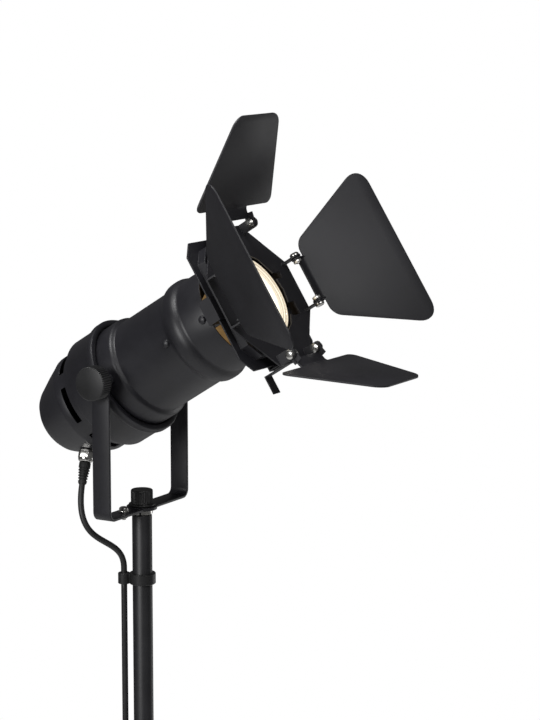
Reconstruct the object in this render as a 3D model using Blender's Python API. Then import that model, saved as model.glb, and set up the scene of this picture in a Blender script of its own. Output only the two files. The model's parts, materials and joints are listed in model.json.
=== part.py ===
# Tripod spotlight floor lamp: a small can-shaped spotlight with four barn doors, in a yoke on a telescopic
# folding light stand. Metres, +Z up, origin on the floor in the middle
# of the stand's footprint. The head points to -Y.
import math

import bmesh
import bpy
from mathutils import Matrix, Vector

MM = 0.001
GAP = 0.3 * MM  # play between pieces that touch

# ---- Overall sizes
TILT_HEIGHT = 1400 * MM  # tilt axis above the floor
HEAD_TILT = math.radians(32)  # how far the head looks up at rest
YOKE_DROP = 89.4 * MM  # tilt axis down to the middle of the yoke's base strip

# ---- Head shell, turned about the head's own axis (radius, station ahead of the tilt axis)
SHEET = 0.8 * MM
BARREL_R = 32.6 * MM
BULGE_R = 35.2 * MM
COLLAR_R = 32.9 * MM
BARREL_REAR = -14 * MM
BULGE_FRONT = 8 * MM
BEAD_START = 51 * MM
BEAD_END = 65 * MM
BARREL_FRONT = 84.5 * MM
CAP_R = 38.5 * MM
CAP_RIM_R = 40 * MM
CAP_BAND_R = 34.4 * MM
CAP_FRONT = -4 * MM
CAP_STEP = -30 * MM
CAP_CONE_START = -46 * MM
CAP_CONE_END = -68 * MM
CAP_CONE_END_R = 24.5 * MM
CAP_REAR = -76 * MM
CAP_REAR_R = 16 * MM
SLOT_COUNT = 6
SLOT_WIDTH = 3 * MM
SLOT_ARC = math.radians(40)
SLOT_STATION = -38 * MM

# ---- Lamp and what holds it
LAMP_R = 25 * MM
LAMP_LENGTH = 54 * MM
LAMP_FRONT = 103.2 * MM
LAMP_NECK_R = 10.5 * MM
HOLDER_R = 12 * MM
HOLDER_LENGTH = 16 * MM
HOLDER_FLANGE = 15 * MM
CARRIER_REAR = 42 * MM
CARRIER_DEPTH = 12 * MM
RIVET_SHANK_R = 1.5 * MM
RIVET_HEAD_R = 2.7 * MM
CARRIER_RIVET = 48 * MM
CLIP_RIVET = 80 * MM
LEAD_R = 1.5 * MM

# ---- Cable gland on the rear cap
GLAND_STATION = -57 * MM
GLAND_ANGLE = math.radians(-115)
GLAND_THREAD_R = 4 * MM
GLAND_HEX_R = 5.4 * MM
GLAND_HEX_LENGTH = 8 * MM
GRIP_R = 3.8 * MM
GRIP_LENGTH = 14 * MM

# ---- Front channel clips, slide plate and door frame
CLIP_WIDTH = 16 * MM
CLIP_SHEET = 1 * MM
CHANNEL_REAR = 91 * MM
CHANNEL_DEPTH = 8 * MM
PLATE_SHEET = 1 * MM
SLIDE_HALF = 44.4 * MM
TRAY_HALF = 38 * MM
FRAME_STATION = 104.2 * MM
FRAME_SHEET = 1.2 * MM
FRAME_HALF = 47.6 * MM
FRAME_FLAT = 17 * MM  # half the length of each straight side
OPENING_R = 29.5 * MM
EAR_WIDTH = 6.8 * MM
EAR_SHEET = 1.2 * MM

# ---- Barn doors: a pair of long ones left and right, a pair of short ones top and bottom
HINGE_R = 44.5 * MM  # hinge line from the head's axis
HINGE_STATION = 115 * MM
LEAF_SHEET = 1 * MM
FLAP_LENGTH = 11 * MM
FLAP_HALF = 15.4 * MM
LUG_WIDTH = 6.4 * MM
LEAF_BEND = math.radians(38)
SIDE_DEPTH, SIDE_INNER, SIDE_OUTER = 68.2 * MM, 26.1 * MM, 59.4 * MM
END_DEPTH, END_INNER, END_OUTER = 61.3 * MM, 44.6 * MM, 24.8 * MM
LEAF_CORNER = 10 * MM
LEAF_OPEN = {"right": 57, "left": 40, "top": 40.5, "bottom": 37.5}  # degrees from the head's axis
BOLT_R = 1.5 * MM
BOLT_HEAD_R = 3.1 * MM
BOLT_HEAD = 2 * MM

# ---- Yoke, tilt studs and knobs
YOKE_HALF = 46 * MM
YOKE_SHEET = 1.8 * MM
YOKE_WIDTH = 13 * MM
YOKE_TOP = 9 * MM
YOKE_BEND_R = 5 * MM
YOKE_BOSS_R = 10 * MM
STUD_R = 2 * MM
STUD_NUT_R = 3.6 * MM
STUD_NUT = 2.4 * MM
KNOB_R = 11 * MM
KNOB_LENGTH = 11.5 * MM

# ---- Pan pivot on top of the mast
PIVOT_R = 4 * MM
PAN_NUT_R = 7.2 * MM
PAN_NUT_LENGTH = 12 * MM
PAN_FLANGE_R = 8.6 * MM
WASHER_R = 7 * MM
WASHER_SHEET = 3 * MM
EARTH_SCREW_X = -21 * MM
EARTH_SCREW_R = 1.5 * MM

# ---- Stand
MAST_R = 6.5 * MM
MAST_WALL = 1 * MM
MAST_LENGTH = 560 * MM
MAST_TRAVEL = 240 * MM
COLUMN_R = 9.5 * MM
COLUMN_WALL = 1.2 * MM
COLUMN_BOTTOM = 60 * MM
COLLAR_HEIGHT = 34 * MM
COLLAR_WALL = 3.5 * MM
COLLAR_LAP = 18 * MM  # how far the height collar reaches down over the column
SCREW_R = 2.5 * MM
SCREW_HEAD_R = 9 * MM
SCREW_HEAD = 9 * MM
LEG_COUNT = 3
LEG_ANGLE = math.radians(30)  # from the column, open
LEG_LENGTH = 470 * MM
LEG_R = 5.5 * MM
PIVOT_RADIUS = 24 * MM  # leg pivots from the column's axis
BRACE_LENGTH = 170 * MM  # from the leg's pivot down to its bracket
BRACE_SHEET = 2 * MM
BRACE_WIDTH = 9 * MM
HUB_HEIGHT = 24 * MM
HUB_R = 14.5 * MM
LUG_SHEET = 2.4 * MM
PIN_R = 2 * MM
FOOT_R = 9 * MM
FOOT_LENGTH = 26 * MM
FOOT_TIP = 8 * MM  # the leg's end to the floor, along the leg
LEG_PIVOT_Z = (LEG_LENGTH + FOOT_TIP) * math.cos(LEG_ANGLE)
BRACKET_OUT = 11 * MM  # brace pivot from the leg's centre line
COLUMN_Y = 66.3 * MM  # the column from the middle of the footprint

# ---- Cord
CORD_R = 2 * MM
COIL_R = 22 * MM
COIL_HALF = 8 * MM
CLIP_HEIGHT = 9 * MM
UPPER_CLIP_DROP = 47 * MM  # below the yoke's base strip
MIDDLE_CLIP_DROP = 150 * MM
CLIP_SLEEVE = 2 * MM
CLIP_OFFSET = 12 * MM  # cord centre from the mast's axis in its clips
LOWER_CLIP_OFFSET = 17 * MM
LOWER_CLIP_Z = 800 * MM
CLIP_ANGLE = math.radians(121)  # the side of the mast that the cord runs down
COIL_X, COIL_Y = 70 * MM, 97 * MM  # middle of the coil, from the column
SWITCH_LENGTH = 62 * MM
SWITCH_HALF = 14 * MM
SWITCH_HEIGHT = 18 * MM
BUTTON_R = 7 * MM
BUTTON_RISE = 2.4 * MM
BOOT_R = 4.5 * MM
BOOT_LENGTH = 12 * MM
PLUG_HALF = 24 * MM
PLUG_LENGTH = 48 * MM
PLUG_HEIGHT = 20 * MM

HEX = 6
FINE, MEDIUM, COARSE = 40, 24, 14  # sides of round pieces

for item in list(bpy.data.objects):
    bpy.data.objects.remove(item)


# ---- Helpers
def material(name, color, roughness, metallic=0.0):
    made = bpy.data.materials.new(name)
    made.use_nodes = True
    shader = made.node_tree.nodes["Principled BSDF"]
    shader.inputs["Base Color"].default_value = (*color, 1)
    shader.inputs["Roughness"].default_value = roughness
    shader.inputs["Metallic"].default_value = metallic
    return made


BLACK = material("satin_black_paint", (0.018, 0.018, 0.019), 0.5)
PLASTIC = material("black_plastic", (0.02, 0.02, 0.02), 0.45)
RUBBER = material("black_rubber", (0.015, 0.015, 0.015), 0.8)
STEEL = material("bright_steel", (0.78, 0.77, 0.74), 0.2, 1.0)
CERAMIC = material("white_ceramic", (0.8, 0.79, 0.75), 0.5)
GLASS = material("lit_glass", (1.0, 0.93, 0.8), 0.1)


def empty(name, place, turn=(0, 0, 0), parent=None):
    made = bpy.data.objects.new(name, None)
    bpy.context.collection.objects.link(made)
    made.parent = parent
    made.location = place
    made.rotation_euler = turn
    return made


def node(name, shape, look, parent, place=(0, 0, 0), turn=(0, 0, 0)):
    """Turn a bmesh into a named object; round stretches are shaded smooth."""
    bmesh.ops.recalc_face_normals(shape, faces=shape.faces)
    mesh = bpy.data.meshes.new(name)
    shape.to_mesh(mesh)
    shape.free()
    mesh.materials.append(look)
    mesh.shade_smooth()
    mesh.set_sharp_from_angle(angle=math.radians(35))
    made = bpy.data.objects.new(name, mesh)
    bpy.context.collection.objects.link(made)
    made.parent = parent
    made.location = place
    made.rotation_euler = turn
    return made


def combine(target, other, operation="DIFFERENCE"):
    """Cut a bmesh from an object, or join it on, with a hidden tool under the same parent."""
    tool = node(f"{target.name}_tool", other, BLACK, target.parent, target.location, target.rotation_euler)
    tool.hide_render = True
    tool.display_type = "WIRE"
    step = target.modifiers.new(operation.lower(), "BOOLEAN")
    step.operation = operation
    step.object = tool
    return target


def moved(shape, matrix):
    bmesh.ops.transform(shape, matrix=matrix, verts=shape.verts)
    return shape


def shift(x=0.0, y=0.0, z=0.0):
    return Matrix.Translation((x, y, z))


def turned(profile, sides=FINE):
    """Spin (radius, height) points about Z: a solid if the profile ends on the axis, else a closed ring."""
    shape = bmesh.new()
    points = [shape.verts.new((r, 0, z)) for r, z in profile]
    edges = [shape.edges.new(pair) for pair in zip(points, points[1:])]
    if profile[0][0] > 0:
        edges.append(shape.edges.new((points[-1], points[0])))
    bmesh.ops.spin(shape, geom=points + edges, axis=(0, 0, 1), cent=(0, 0, 0), angle=math.tau,
                   steps=sides, use_merge=True)
    bmesh.ops.remove_doubles(shape, verts=shape.verts, dist=1e-7)
    return shape


def rod(radius, low, high, sides=COARSE):
    return turned([(0, low), (radius, low), (radius, high), (0, high)], sides)


def tube(radius, wall, low, high, sides=MEDIUM):
    return turned([(radius - wall, low), (radius, low), (radius, high), (radius - wall, high)], sides)


def block(low, high):
    shape = bmesh.new()
    bmesh.ops.create_cube(shape, size=1)
    size = [b - a for a, b in zip(low, high)]
    middle = [(a + b) / 2 for a, b in zip(low, high)]
    return moved(shape, shift(*middle) @ Matrix.Diagonal((*size, 1)))


def extruded(outline, low, high):
    """A flat outline in X and Y, from one height to another."""
    shape = bmesh.new()
    face = shape.faces.new([shape.verts.new((x, y, low)) for x, y in outline])
    grown = bmesh.ops.extrude_face_region(shape, geom=[face])
    tops = [item for item in grown["geom"] if isinstance(item, bmesh.types.BMVert)]
    bmesh.ops.translate(shape, verts=tops, vec=(0, 0, high - low))
    return shape


def rounded(outline, radii, steps=4):
    """Replace each corner of an outline by an arc of its radius."""
    made = []
    count = len(outline)
    for index, (corner, radius) in enumerate(zip(outline, radii)):
        here = Vector(corner)
        if radius <= 0:
            made.append(tuple(here))
            continue
        before = (Vector(outline[index - 1]) - here).normalized()
        after = (Vector(outline[(index + 1) % count]) - here).normalized()
        half = before.angle(after) / 2
        centre = here + (before + after).normalized() * radius / math.sin(half)
        start = here + before * radius / math.tan(half) - centre
        end = here + after * radius / math.tan(half) - centre
        sweep = start.angle_signed(end)
        for step in range(steps + 1):
            angle = -sweep * step / steps
            turn = Matrix.Rotation(angle, 2)
            made.append(tuple(centre + turn @ start))
    return made


def strip(path, sheet, low, high):
    """A bent strip: a path in X and Z thickened to the sheet's gauge, spanning Y from low to high."""
    points = [Vector(p) for p in path]
    sides = []
    for side in (-sheet / 2, sheet / 2):
        offset = []
        for index, here in enumerate(points):
            ahead = (points[min(index + 1, len(points) - 1)] - points[max(index, 0)]).normalized() \
                if index < len(points) - 1 else (here - points[index - 1]).normalized()
            behind = (here - points[index - 1]).normalized() if index else ahead
            normal_a = Vector((-behind.y, behind.x))
            normal_b = Vector((-ahead.y, ahead.x))
            mitre = (normal_a + normal_b).normalized()
            offset.append(here + mitre * side / max(mitre.dot(normal_a), 0.3))
        sides.append(offset)
    outline = sides[0] + sides[1][::-1]
    shape = extruded([(p.x, p.y) for p in outline], low, high)
    # the outline's Y is the strip's Z, and its height runs along Y
    return moved(shape, Matrix(((1, 0, 0, 0), (0, 0, 1, 0), (0, 1, 0, 0), (0, 0, 0, 1))))


def along_x():
    """Turns a shape made about Z to lie along X."""
    return Matrix.Rotation(math.radians(90), 4, "Y")


def curve_points(marks, count):
    """Points spread evenly over a smooth curve through the marks."""
    marks = [Vector(m) for m in marks]
    dense = []
    for index in range(len(marks) - 1):
        a = marks[max(index - 1, 0)]
        b, c = marks[index], marks[index + 1]
        d = marks[min(index + 2, len(marks) - 1)]
        for step in range(16):
            t = step / 16
            dense.append(0.5 * (2 * b + (c - a) * t + (2 * a - 5 * b + 4 * c - d) * t * t
                                + (3 * b - a - 3 * c + d) * t ** 3))
    dense.append(marks[-1])
    reach = [0.0]
    for a, b in zip(dense, dense[1:]):
        reach.append(reach[-1] + (b - a).length)
    spread, index = [], 0
    for step in range(count):
        goal = reach[-1] * step / (count - 1)
        while index < len(dense) - 2 and reach[index + 1] < goal:
            index += 1
        part = (goal - reach[index]) / (reach[index + 1] - reach[index])
        spread.append(dense[index].lerp(dense[index + 1], min(max(part, 0), 1)))
    return spread


def cord(name, marks, count, radius, look, parent):
    """A round cord through hand-placed marks."""
    curve = bpy.data.curves.new(name, "CURVE")
    curve.dimensions = "3D"
    curve.bevel_depth = radius
    curve.bevel_resolution = 2
    curve.use_fill_caps = True
    line = curve.splines.new("POLY")
    points = curve_points(marks, count)
    line.points.add(len(points) - 1)
    for point, place in zip(line.points, points):
        point.co = (*place, 1)
    curve.materials.append(look)
    made = bpy.data.objects.new(name, curve)
    bpy.context.collection.objects.link(made)
    made.parent = parent
    return made


# ---- Axes of the moving parts
PAN_Z = TILT_HEIGHT - YOKE_DROP
MAST_TOP = PAN_Z - YOKE_SHEET / 2 - WASHER_SHEET - 2 * GAP
MAST_BOTTOM = MAST_TOP - MAST_LENGTH
COLLAR_TOP = MAST_BOTTOM + 130 * MM  # 130 mm of the mast stays in the column
COLUMN_TOP = COLLAR_TOP - COLLAR_HEIGHT + COLLAR_LAP
BRACE_REACH = math.hypot(BRACE_LENGTH, BRACKET_OUT)  # between the brace's pivots
BRACE_ANGLE = LEG_ANGLE - math.atan2(BRACKET_OUT, BRACE_LENGTH)  # from upright
BRACE_PIVOT_Z = LEG_PIVOT_Z - 2 * BRACE_REACH * math.cos(BRACE_ANGLE)
LUG_GAP = BRACE_WIDTH / 2 + GAP

stand = empty("stand_axis", (0, COLUMN_Y, 0))
pan = empty("pan_axis", (0, 0, PAN_Z), parent=stand)
# local +Z runs forward along the head, local +Y up
head = empty("head_axis", (0, 0, TILT_HEIGHT), (math.pi / 2 - HEAD_TILT, 0, 0), stand)


def about_z(degrees):
    return Matrix.Rotation(math.radians(degrees), 4, "Z")


def across(side=1):
    """Turns a shape made about Z to lie along +Y or, with side -1, along -Y."""
    return Matrix.Rotation(math.radians(-90 * side), 4, "X")


def rivet(start, seat):
    """A round-headed rivet about Z, its head's seat at the given height."""
    head_height = 1.7 * MM
    return turned([(0, start), (RIVET_SHANK_R, start), (RIVET_SHANK_R, seat), (RIVET_HEAD_R, seat),
                   (RIVET_HEAD_R - 0.4 * MM, seat + 0.6 * head_height),
                   (RIVET_HEAD_R - 1.4 * MM, seat + 0.9 * head_height), (0, seat + head_height)], 12)


# ---- Head shell
def build_barrel():
    outer = [
        (BULGE_R - MM, BARREL_REAR), (BULGE_R, BARREL_REAR + 3 * MM), (BULGE_R, BULGE_FRONT - MM),
        (BULGE_R - 0.6 * MM, BULGE_FRONT), (BARREL_R, BULGE_FRONT + 1.5 * MM), (BARREL_R, BEAD_START),
        (BULGE_R - 0.4 * MM, BEAD_START + 3.5 * MM), (BULGE_R, BEAD_START + 7 * MM),
        (BULGE_R - 0.5 * MM, BEAD_END - 3 * MM), (COLLAR_R, BEAD_END), (COLLAR_R, BARREL_FRONT),
    ]
    profile = outer + [(r - SHEET, z) for r, z in reversed(outer)]
    barrel = node("barrel", turned(profile), BLACK, head)
    holes = [(angle, CARRIER_RIVET, RIVET_SHANK_R) for angle in (0, 180)]
    holes += [(angle, CLIP_RIVET, RIVET_SHANK_R) for angle in (0, 180, 270)]
    holes += [(angle, 0, STUD_R) for angle in (0, 180)]
    for angle, station, radius in holes:
        drill = rod(radius + GAP, 0.8 * BARREL_R, 1.3 * BARREL_R, 12)
        combine(barrel, moved(drill, shift(z=station) @ about_z(angle) @ along_x()))


def build_cap():
    lip = BULGE_R + GAP
    rim_rear = CAP_FRONT - 6 * MM
    profile = [
        (0, CAP_REAR), (CAP_REAR_R, CAP_REAR), (CAP_CONE_END_R - 3.4 * MM, CAP_REAR + 3 * MM),
        (CAP_CONE_END_R, CAP_CONE_END), (CAP_BAND_R - 0.9 * MM, CAP_CONE_START - MM),
        (CAP_BAND_R, CAP_CONE_START + MM), (CAP_BAND_R, CAP_STEP - 3 * MM),
        (CAP_BAND_R + 0.4 * MM, CAP_STEP - 1.5 * MM), (CAP_R, CAP_STEP), (CAP_R, rim_rear),
        (CAP_RIM_R, rim_rear + 1.2 * MM), (CAP_RIM_R, CAP_FRONT - 1.2 * MM), (CAP_RIM_R - MM, CAP_FRONT),
        (lip, CAP_FRONT), (lip, rim_rear), (CAP_R - SHEET, rim_rear - MM),
        (CAP_R - SHEET, CAP_STEP + SHEET), (CAP_BAND_R - SHEET, CAP_STEP - 2.4 * MM),
        (CAP_BAND_R - SHEET, CAP_CONE_START + 1.2 * MM), (CAP_BAND_R - 1.7 * MM, CAP_CONE_START - 0.6 * MM),
        (CAP_CONE_END_R - SHEET, CAP_CONE_END + 0.3 * MM), (CAP_CONE_END_R - 4 * MM, CAP_REAR + 3.5 * MM),
        (CAP_REAR_R - 0.4 * MM, CAP_REAR + SHEET), (0, CAP_REAR + SHEET),
    ]
    cap = node("rear_cap", turned(profile), BLACK, head)
    steps = 6
    for index in range(SLOT_COUNT):
        middle = math.pi + math.tau * index / SLOT_COUNT
        angles = [middle + SLOT_ARC * (step / steps - 0.5) for step in range(steps + 1)]
        outline = [((CAP_BAND_R + 4 * MM) * math.cos(a), (CAP_BAND_R + 4 * MM) * math.sin(a))
                   for a in angles]
        outline += [((CAP_BAND_R - 4 * MM) * math.cos(a), (CAP_BAND_R - 4 * MM) * math.sin(a))
                    for a in reversed(angles)]
        combine(cap, extruded(outline, SLOT_STATION - SLOT_WIDTH / 2, SLOT_STATION + SLOT_WIDTH / 2))
    combine(cap, moved(rod(GLAND_THREAD_R + GAP, -6 * MM, 6 * MM, 16), gland_frame()))


def gland_frame():
    """Frame of the gland: +Z straight out of the rear cap's cone, origin on its surface."""
    run = CAP_CONE_START - CAP_CONE_END
    share = (CAP_CONE_START - GLAND_STATION) / run
    radius = CAP_BAND_R + (CAP_CONE_END_R - CAP_BAND_R) * share
    lean = math.atan2(CAP_BAND_R - CAP_CONE_END_R, run)
    around = Matrix.Rotation(GLAND_ANGLE, 4, "Z")
    return around @ shift(radius, 0, GLAND_STATION) @ Matrix.Rotation(math.pi / 2 + lean, 4, "Y")


def build_gland():
    bore = CORD_R + GAP
    hex_front = GAP + GLAND_HEX_LENGTH
    nut = turned([(0, GAP), (GLAND_HEX_R, GAP), (GLAND_HEX_R, hex_front - MM), (GLAND_HEX_R - MM, hex_front),
                  (0, hex_front)], HEX)
    gland = node("cable_gland", moved(nut, gland_frame()), STEEL, head)
    combine(gland, moved(rod(GLAND_THREAD_R, -4 * MM, 2 * MM, 16), gland_frame()), "UNION")
    combine(gland, moved(rod(bore, -6 * MM, hex_front + MM, 12), gland_frame()))
    start = hex_front + GAP
    grip = turned([(bore, start), (GRIP_R, start), (GRIP_R, start + 0.3 * GRIP_LENGTH),
                   (bore + MM, start + GRIP_LENGTH), (bore, start + GRIP_LENGTH)], 16)
    node("gland_grip", moved(grip, gland_frame()), RUBBER, head)


# ---- Lamp and what carries it
def build_lamp():
    carrier_r = BARREL_R - SHEET - GAP
    wall = 0.8 * MM
    front = CARRIER_REAR + CARRIER_DEPTH
    cup = turned([(HOLDER_R + GAP, CARRIER_REAR), (carrier_r, CARRIER_REAR), (carrier_r, front),
                  (carrier_r - wall, front), (carrier_r - wall, CARRIER_REAR + wall),
                  (HOLDER_R + GAP, CARRIER_REAR + wall)], 32)
    carrier = node("lamp_carrier", cup, STEEL, head)
    for angle in (0, 180):
        fixing = rivet(carrier_r - 1.2 * MM, BARREL_R + GAP)
        combine(carrier, moved(fixing, shift(z=CARRIER_RIVET) @ about_z(angle) @ along_x()), "UNION")
    lamp_rear = LAMP_FRONT - LAMP_LENGTH
    holder_front = lamp_rear - GAP
    holder_rear = holder_front - HOLDER_LENGTH
    flange = CARRIER_REAR + wall + GAP
    holder = turned([(0, holder_rear), (HOLDER_R, holder_rear), (HOLDER_R, flange), (HOLDER_FLANGE, flange),
                     (HOLDER_FLANGE, flange + 2 * MM), (HOLDER_R, flange + 2 * MM), (HOLDER_R, holder_front),
                     (0, holder_front)], MEDIUM)
    node("lamp_holder", holder, CERAMIC, head)
    bulb = turned([(0, lamp_rear), (LAMP_NECK_R, lamp_rear), (LAMP_NECK_R + MM, lamp_rear + 12 * MM),
                   (LAMP_R - 8 * MM, lamp_rear + 20 * MM), (LAMP_R - 1.5 * MM, lamp_rear + 44 * MM),
                   (LAMP_R, lamp_rear + 48 * MM), (LAMP_R, LAMP_FRONT - MM), (LAMP_R - MM, LAMP_FRONT),
                   (0, LAMP_FRONT)], 32)
    node("lamp", bulb, GLASS, head)
    start = gland_frame() @ Vector((0, 0, -4 * MM - GAP))
    inside = gland_frame() @ Vector((0, 0, -11 * MM))
    bend = Vector((0, -4 * MM, -8 * MM))
    cord("inner_lead", [start, inside, bend, (0, 0, holder_rear - GAP)], 18, LEAD_R, RUBBER, head)


# ---- Front: channel clips, slide plate and door frame
def build_clips():
    """Bent clips inside the collar: a riveted base, a flange outward, an outer wall and a lip inward."""
    base = math.sqrt((COLLAR_R - SHEET) ** 2 - (CLIP_WIDTH / 2) ** 2) - CLIP_SHEET / 2 - GAP
    wall = SLIDE_HALF + GAP + CLIP_SHEET / 2
    lip_station = CHANNEL_REAR + CHANNEL_DEPTH
    path = [(base, CLIP_RIVET - 6 * MM), (base, CHANNEL_REAR), (wall, CHANNEL_REAR), (wall, lip_station),
            (TRAY_HALF + 2.4 * MM, lip_station)]
    for name, angle in (("right", 0), ("left", 180), ("bottom", 270)):
        shape = strip(path, CLIP_SHEET, -CLIP_WIDTH / 2, CLIP_WIDTH / 2)
        clip = node(f"channel_clip_{name}", moved(shape, about_z(angle)), BLACK, head)
        fixing = moved(rivet(base, COLLAR_R + GAP), shift(z=CLIP_RIVET) @ about_z(angle) @ along_x())
        combine(clip, fixing, "UNION")


def octagon(half, flat):
    return [(half, -flat), (half, flat), (flat, half), (-flat, half), (-half, flat), (-half, -flat),
            (-flat, -half), (flat, -half)]


def build_slide_plate():
    """A plate that slides in the clips' channels, with a low square wall that carries the door frame."""
    front = CHANNEL_REAR + CHANNEL_DEPTH - CLIP_SHEET / 2 - GAP
    rear = front - PLATE_SHEET
    corner = 9 * MM
    top = FRAME_STATION - GAP
    inner = TRAY_HALF - PLATE_SHEET
    plate = node("slide_plate", extruded(octagon(SLIDE_HALF, SLIDE_HALF - corner), rear, front), BLACK, head)
    combine(plate, extruded(octagon(TRAY_HALF, TRAY_HALF - corner), rear + 0.5 * PLATE_SHEET, top), "UNION")
    combine(plate, extruded(octagon(inner, inner - corner), front, top + MM))
    combine(plate, rod(OPENING_R + MM, rear - MM, front + MM, 32))


def ear(inner, outer, low, high, tip):
    """A flat lug standing on the door frame, its tip rounded."""
    shape = block((inner, low, FRAME_STATION + FRAME_SHEET / 2), (outer, high, tip))
    edges = [edge for edge in shape.edges if edge.calc_length() < 2 * EAR_SHEET
             and min(vert.co.z for vert in edge.verts) > tip - MM]
    bmesh.ops.bevel(shape, geom=edges, offset=2.4 * MM, segments=3, profile=0.5, affect="EDGES")
    return shape


def build_door_frame():
    frame = node("door_frame", extruded(octagon(FRAME_HALF, FRAME_FLAT), FRAME_STATION, FRAME_STATION
                                        + FRAME_SHEET),
                 BLACK, head)
    low, high = FRAME_STATION - MM, FRAME_STATION + 3 * MM
    combine(frame, rod(OPENING_R, low, high))
    combine(frame, block((0.9 * OPENING_R, 8 * MM, low), (OPENING_R + 5.5 * MM, 12 * MM, high)))
    combine(frame, block((0.8 * OPENING_R, -18 * MM, low), (OPENING_R + 4.5 * MM, -9 * MM, high)))
    inner = FRAME_HALF - EAR_WIDTH
    for angle in (0, 90, 180, 270):
        for side in (-1, 1):
            near, far = sorted((side * FRAME_FLAT, side * (FRAME_FLAT - EAR_SHEET)))
            lug = ear(inner, FRAME_HALF, near, far, HINGE_STATION + EAR_WIDTH / 2)
            combine(frame, moved(lug, about_z(angle)), "UNION")
            hole = rod(BOLT_R + GAP, FRAME_FLAT - 2 * EAR_SHEET, FRAME_FLAT + EAR_SHEET, 10)
            combine(frame, moved(hole, about_z(angle) @ shift(HINGE_R, 0, HINGE_STATION) @ across(side)))
    # pull tab: back over the lower clip, then bent down
    tab_y = -FRAME_HALF + 0.4 * MM
    tab = strip([(-tab_y, FRAME_STATION + 0.6 * FRAME_SHEET), (-tab_y, CHANNEL_REAR - 4 * MM),
                 (-tab_y + 12 * MM, CHANNEL_REAR - 4 * MM)], 0.8 * MM, -10 * MM, -2 * MM)
    combine(frame, moved(tab, about_z(270)), "UNION")


# ---- Barn doors
def build_leaf(name, angle, depth, inner_half, outer_half):
    """A barn door in its hinge's frame: X away from the head's axis, Y along the hinge, Z forward."""
    hinge = about_z(angle) @ shift(HINGE_R, 0, HINGE_STATION)
    axis = empty(f"leaf_{name}_axis", hinge.translation, (0, 0, math.radians(angle)), head)
    opening = math.radians(LEAF_OPEN[name])
    flap_turn = Matrix.Rotation(opening + LEAF_BEND - math.pi / 2, 4, "Y")
    leaf_turn = shift(*(flap_turn @ Vector((FLAP_LENGTH, 0, 0)))) @ Matrix.Rotation(opening - math.pi / 2, 4,
                                                                                    "Y")
    outline = rounded([(0, -inner_half), (depth, -outer_half), (depth, outer_half), (0, inner_half)],
                      [0.6 * LEAF_CORNER, LEAF_CORNER, LEAF_CORNER, 0.6 * LEAF_CORNER])
    plate = extruded(outline, -LEAF_SHEET / 2, LEAF_SHEET / 2)
    leaf = node(f"leaf_{name}", moved(plate, leaf_turn), BLACK, axis)
    start = BOLT_HEAD_R + 1.3 * MM  # the flap begins clear of the bolts
    flap = block((start, -FLAP_HALF, -LEAF_SHEET / 2), (FLAP_LENGTH + 0.5 * MM, FLAP_HALF, LEAF_SHEET / 2))
    combine(leaf, moved(flap, flap_turn), "UNION")
    lug_inner = FLAP_HALF - LEAF_SHEET
    for side in (-1, 1):
        near, far = sorted((side * FLAP_HALF, side * lug_inner))
        lug = block((-LUG_WIDTH / 2, near, -LUG_WIDTH / 2), (start + 2 * MM, far, LUG_WIDTH / 2))
        edges = [edge for edge in lug.edges if edge.calc_length() < 2 * LEAF_SHEET
                 and max(vert.co.x for vert in edge.verts) < 0]
        bmesh.ops.bevel(lug, geom=edges, offset=2.4 * MM, segments=3, profile=0.5, affect="EDGES")
        combine(leaf, moved(lug, flap_turn), "UNION")
        combine(leaf, moved(rod(BOLT_R + GAP, lug_inner - MM, FLAP_HALF + MM, 10), across(side)))
        # screw from outside through the frame's ear and the lug, its nut inside
        seat, nut = FRAME_FLAT + GAP, lug_inner - GAP
        bolt = turned([(0, nut - BOLT_HEAD), (BOLT_HEAD_R, nut - BOLT_HEAD), (BOLT_HEAD_R, nut),
                       (BOLT_R, nut),
                       (BOLT_R, seat), (BOLT_HEAD_R, seat), (BOLT_HEAD_R, seat + 0.6 * BOLT_HEAD),
                       (BOLT_HEAD_R - 1.1 * MM, seat + BOLT_HEAD), (0, seat + BOLT_HEAD)], 10)
        end = "a" if side < 0 else "b"
        node(f"hinge_bolt_{name}_{end}", moved(bolt, hinge @ across(side)), STEEL, head)


# ---- Yoke, tilt clamps and pan pivot
def build_yoke():
    arm = YOKE_HALF - YOKE_SHEET / 2
    top = YOKE_DROP + YOKE_TOP
    bend = [math.radians(90) * step / 4 for step in range(5)]
    right = [(arm, top)] + [(arm - YOKE_BEND_R * (1 - math.cos(a)), YOKE_BEND_R * (1 - math.sin(a)))
                            for a in bend]
    path = right + [(-x, z) for x, z in reversed(right)]
    shape = strip(path, YOKE_SHEET, -YOKE_WIDTH / 2, YOKE_WIDTH / 2)
    ends = [edge for edge in shape.edges if edge.calc_length() < 1.5 * YOKE_SHEET
            and min(vert.co.z for vert in edge.verts) > top - MM]
    bmesh.ops.bevel(shape, geom=ends, offset=YOKE_WIDTH / 2 - 0.8 * MM, segments=4, profile=0.5,
                    affect="EDGES")
    yoke = node("yoke", shape, BLACK, pan)
    combine(yoke, rod(YOKE_BOSS_R, -YOKE_SHEET / 2, YOKE_SHEET / 2 + 0.4 * MM, MEDIUM), "UNION")
    combine(yoke, rod(PIVOT_R + GAP, -5 * MM, 5 * MM, 16))
    combine(yoke, moved(rod(EARTH_SCREW_R + GAP, -5 * MM, 5 * MM, 10), shift(x=EARTH_SCREW_X)))
    combine(yoke, moved(rod(STUD_R + GAP, -60 * MM, 60 * MM, 12), shift(z=YOKE_DROP) @ along_x()))


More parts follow.
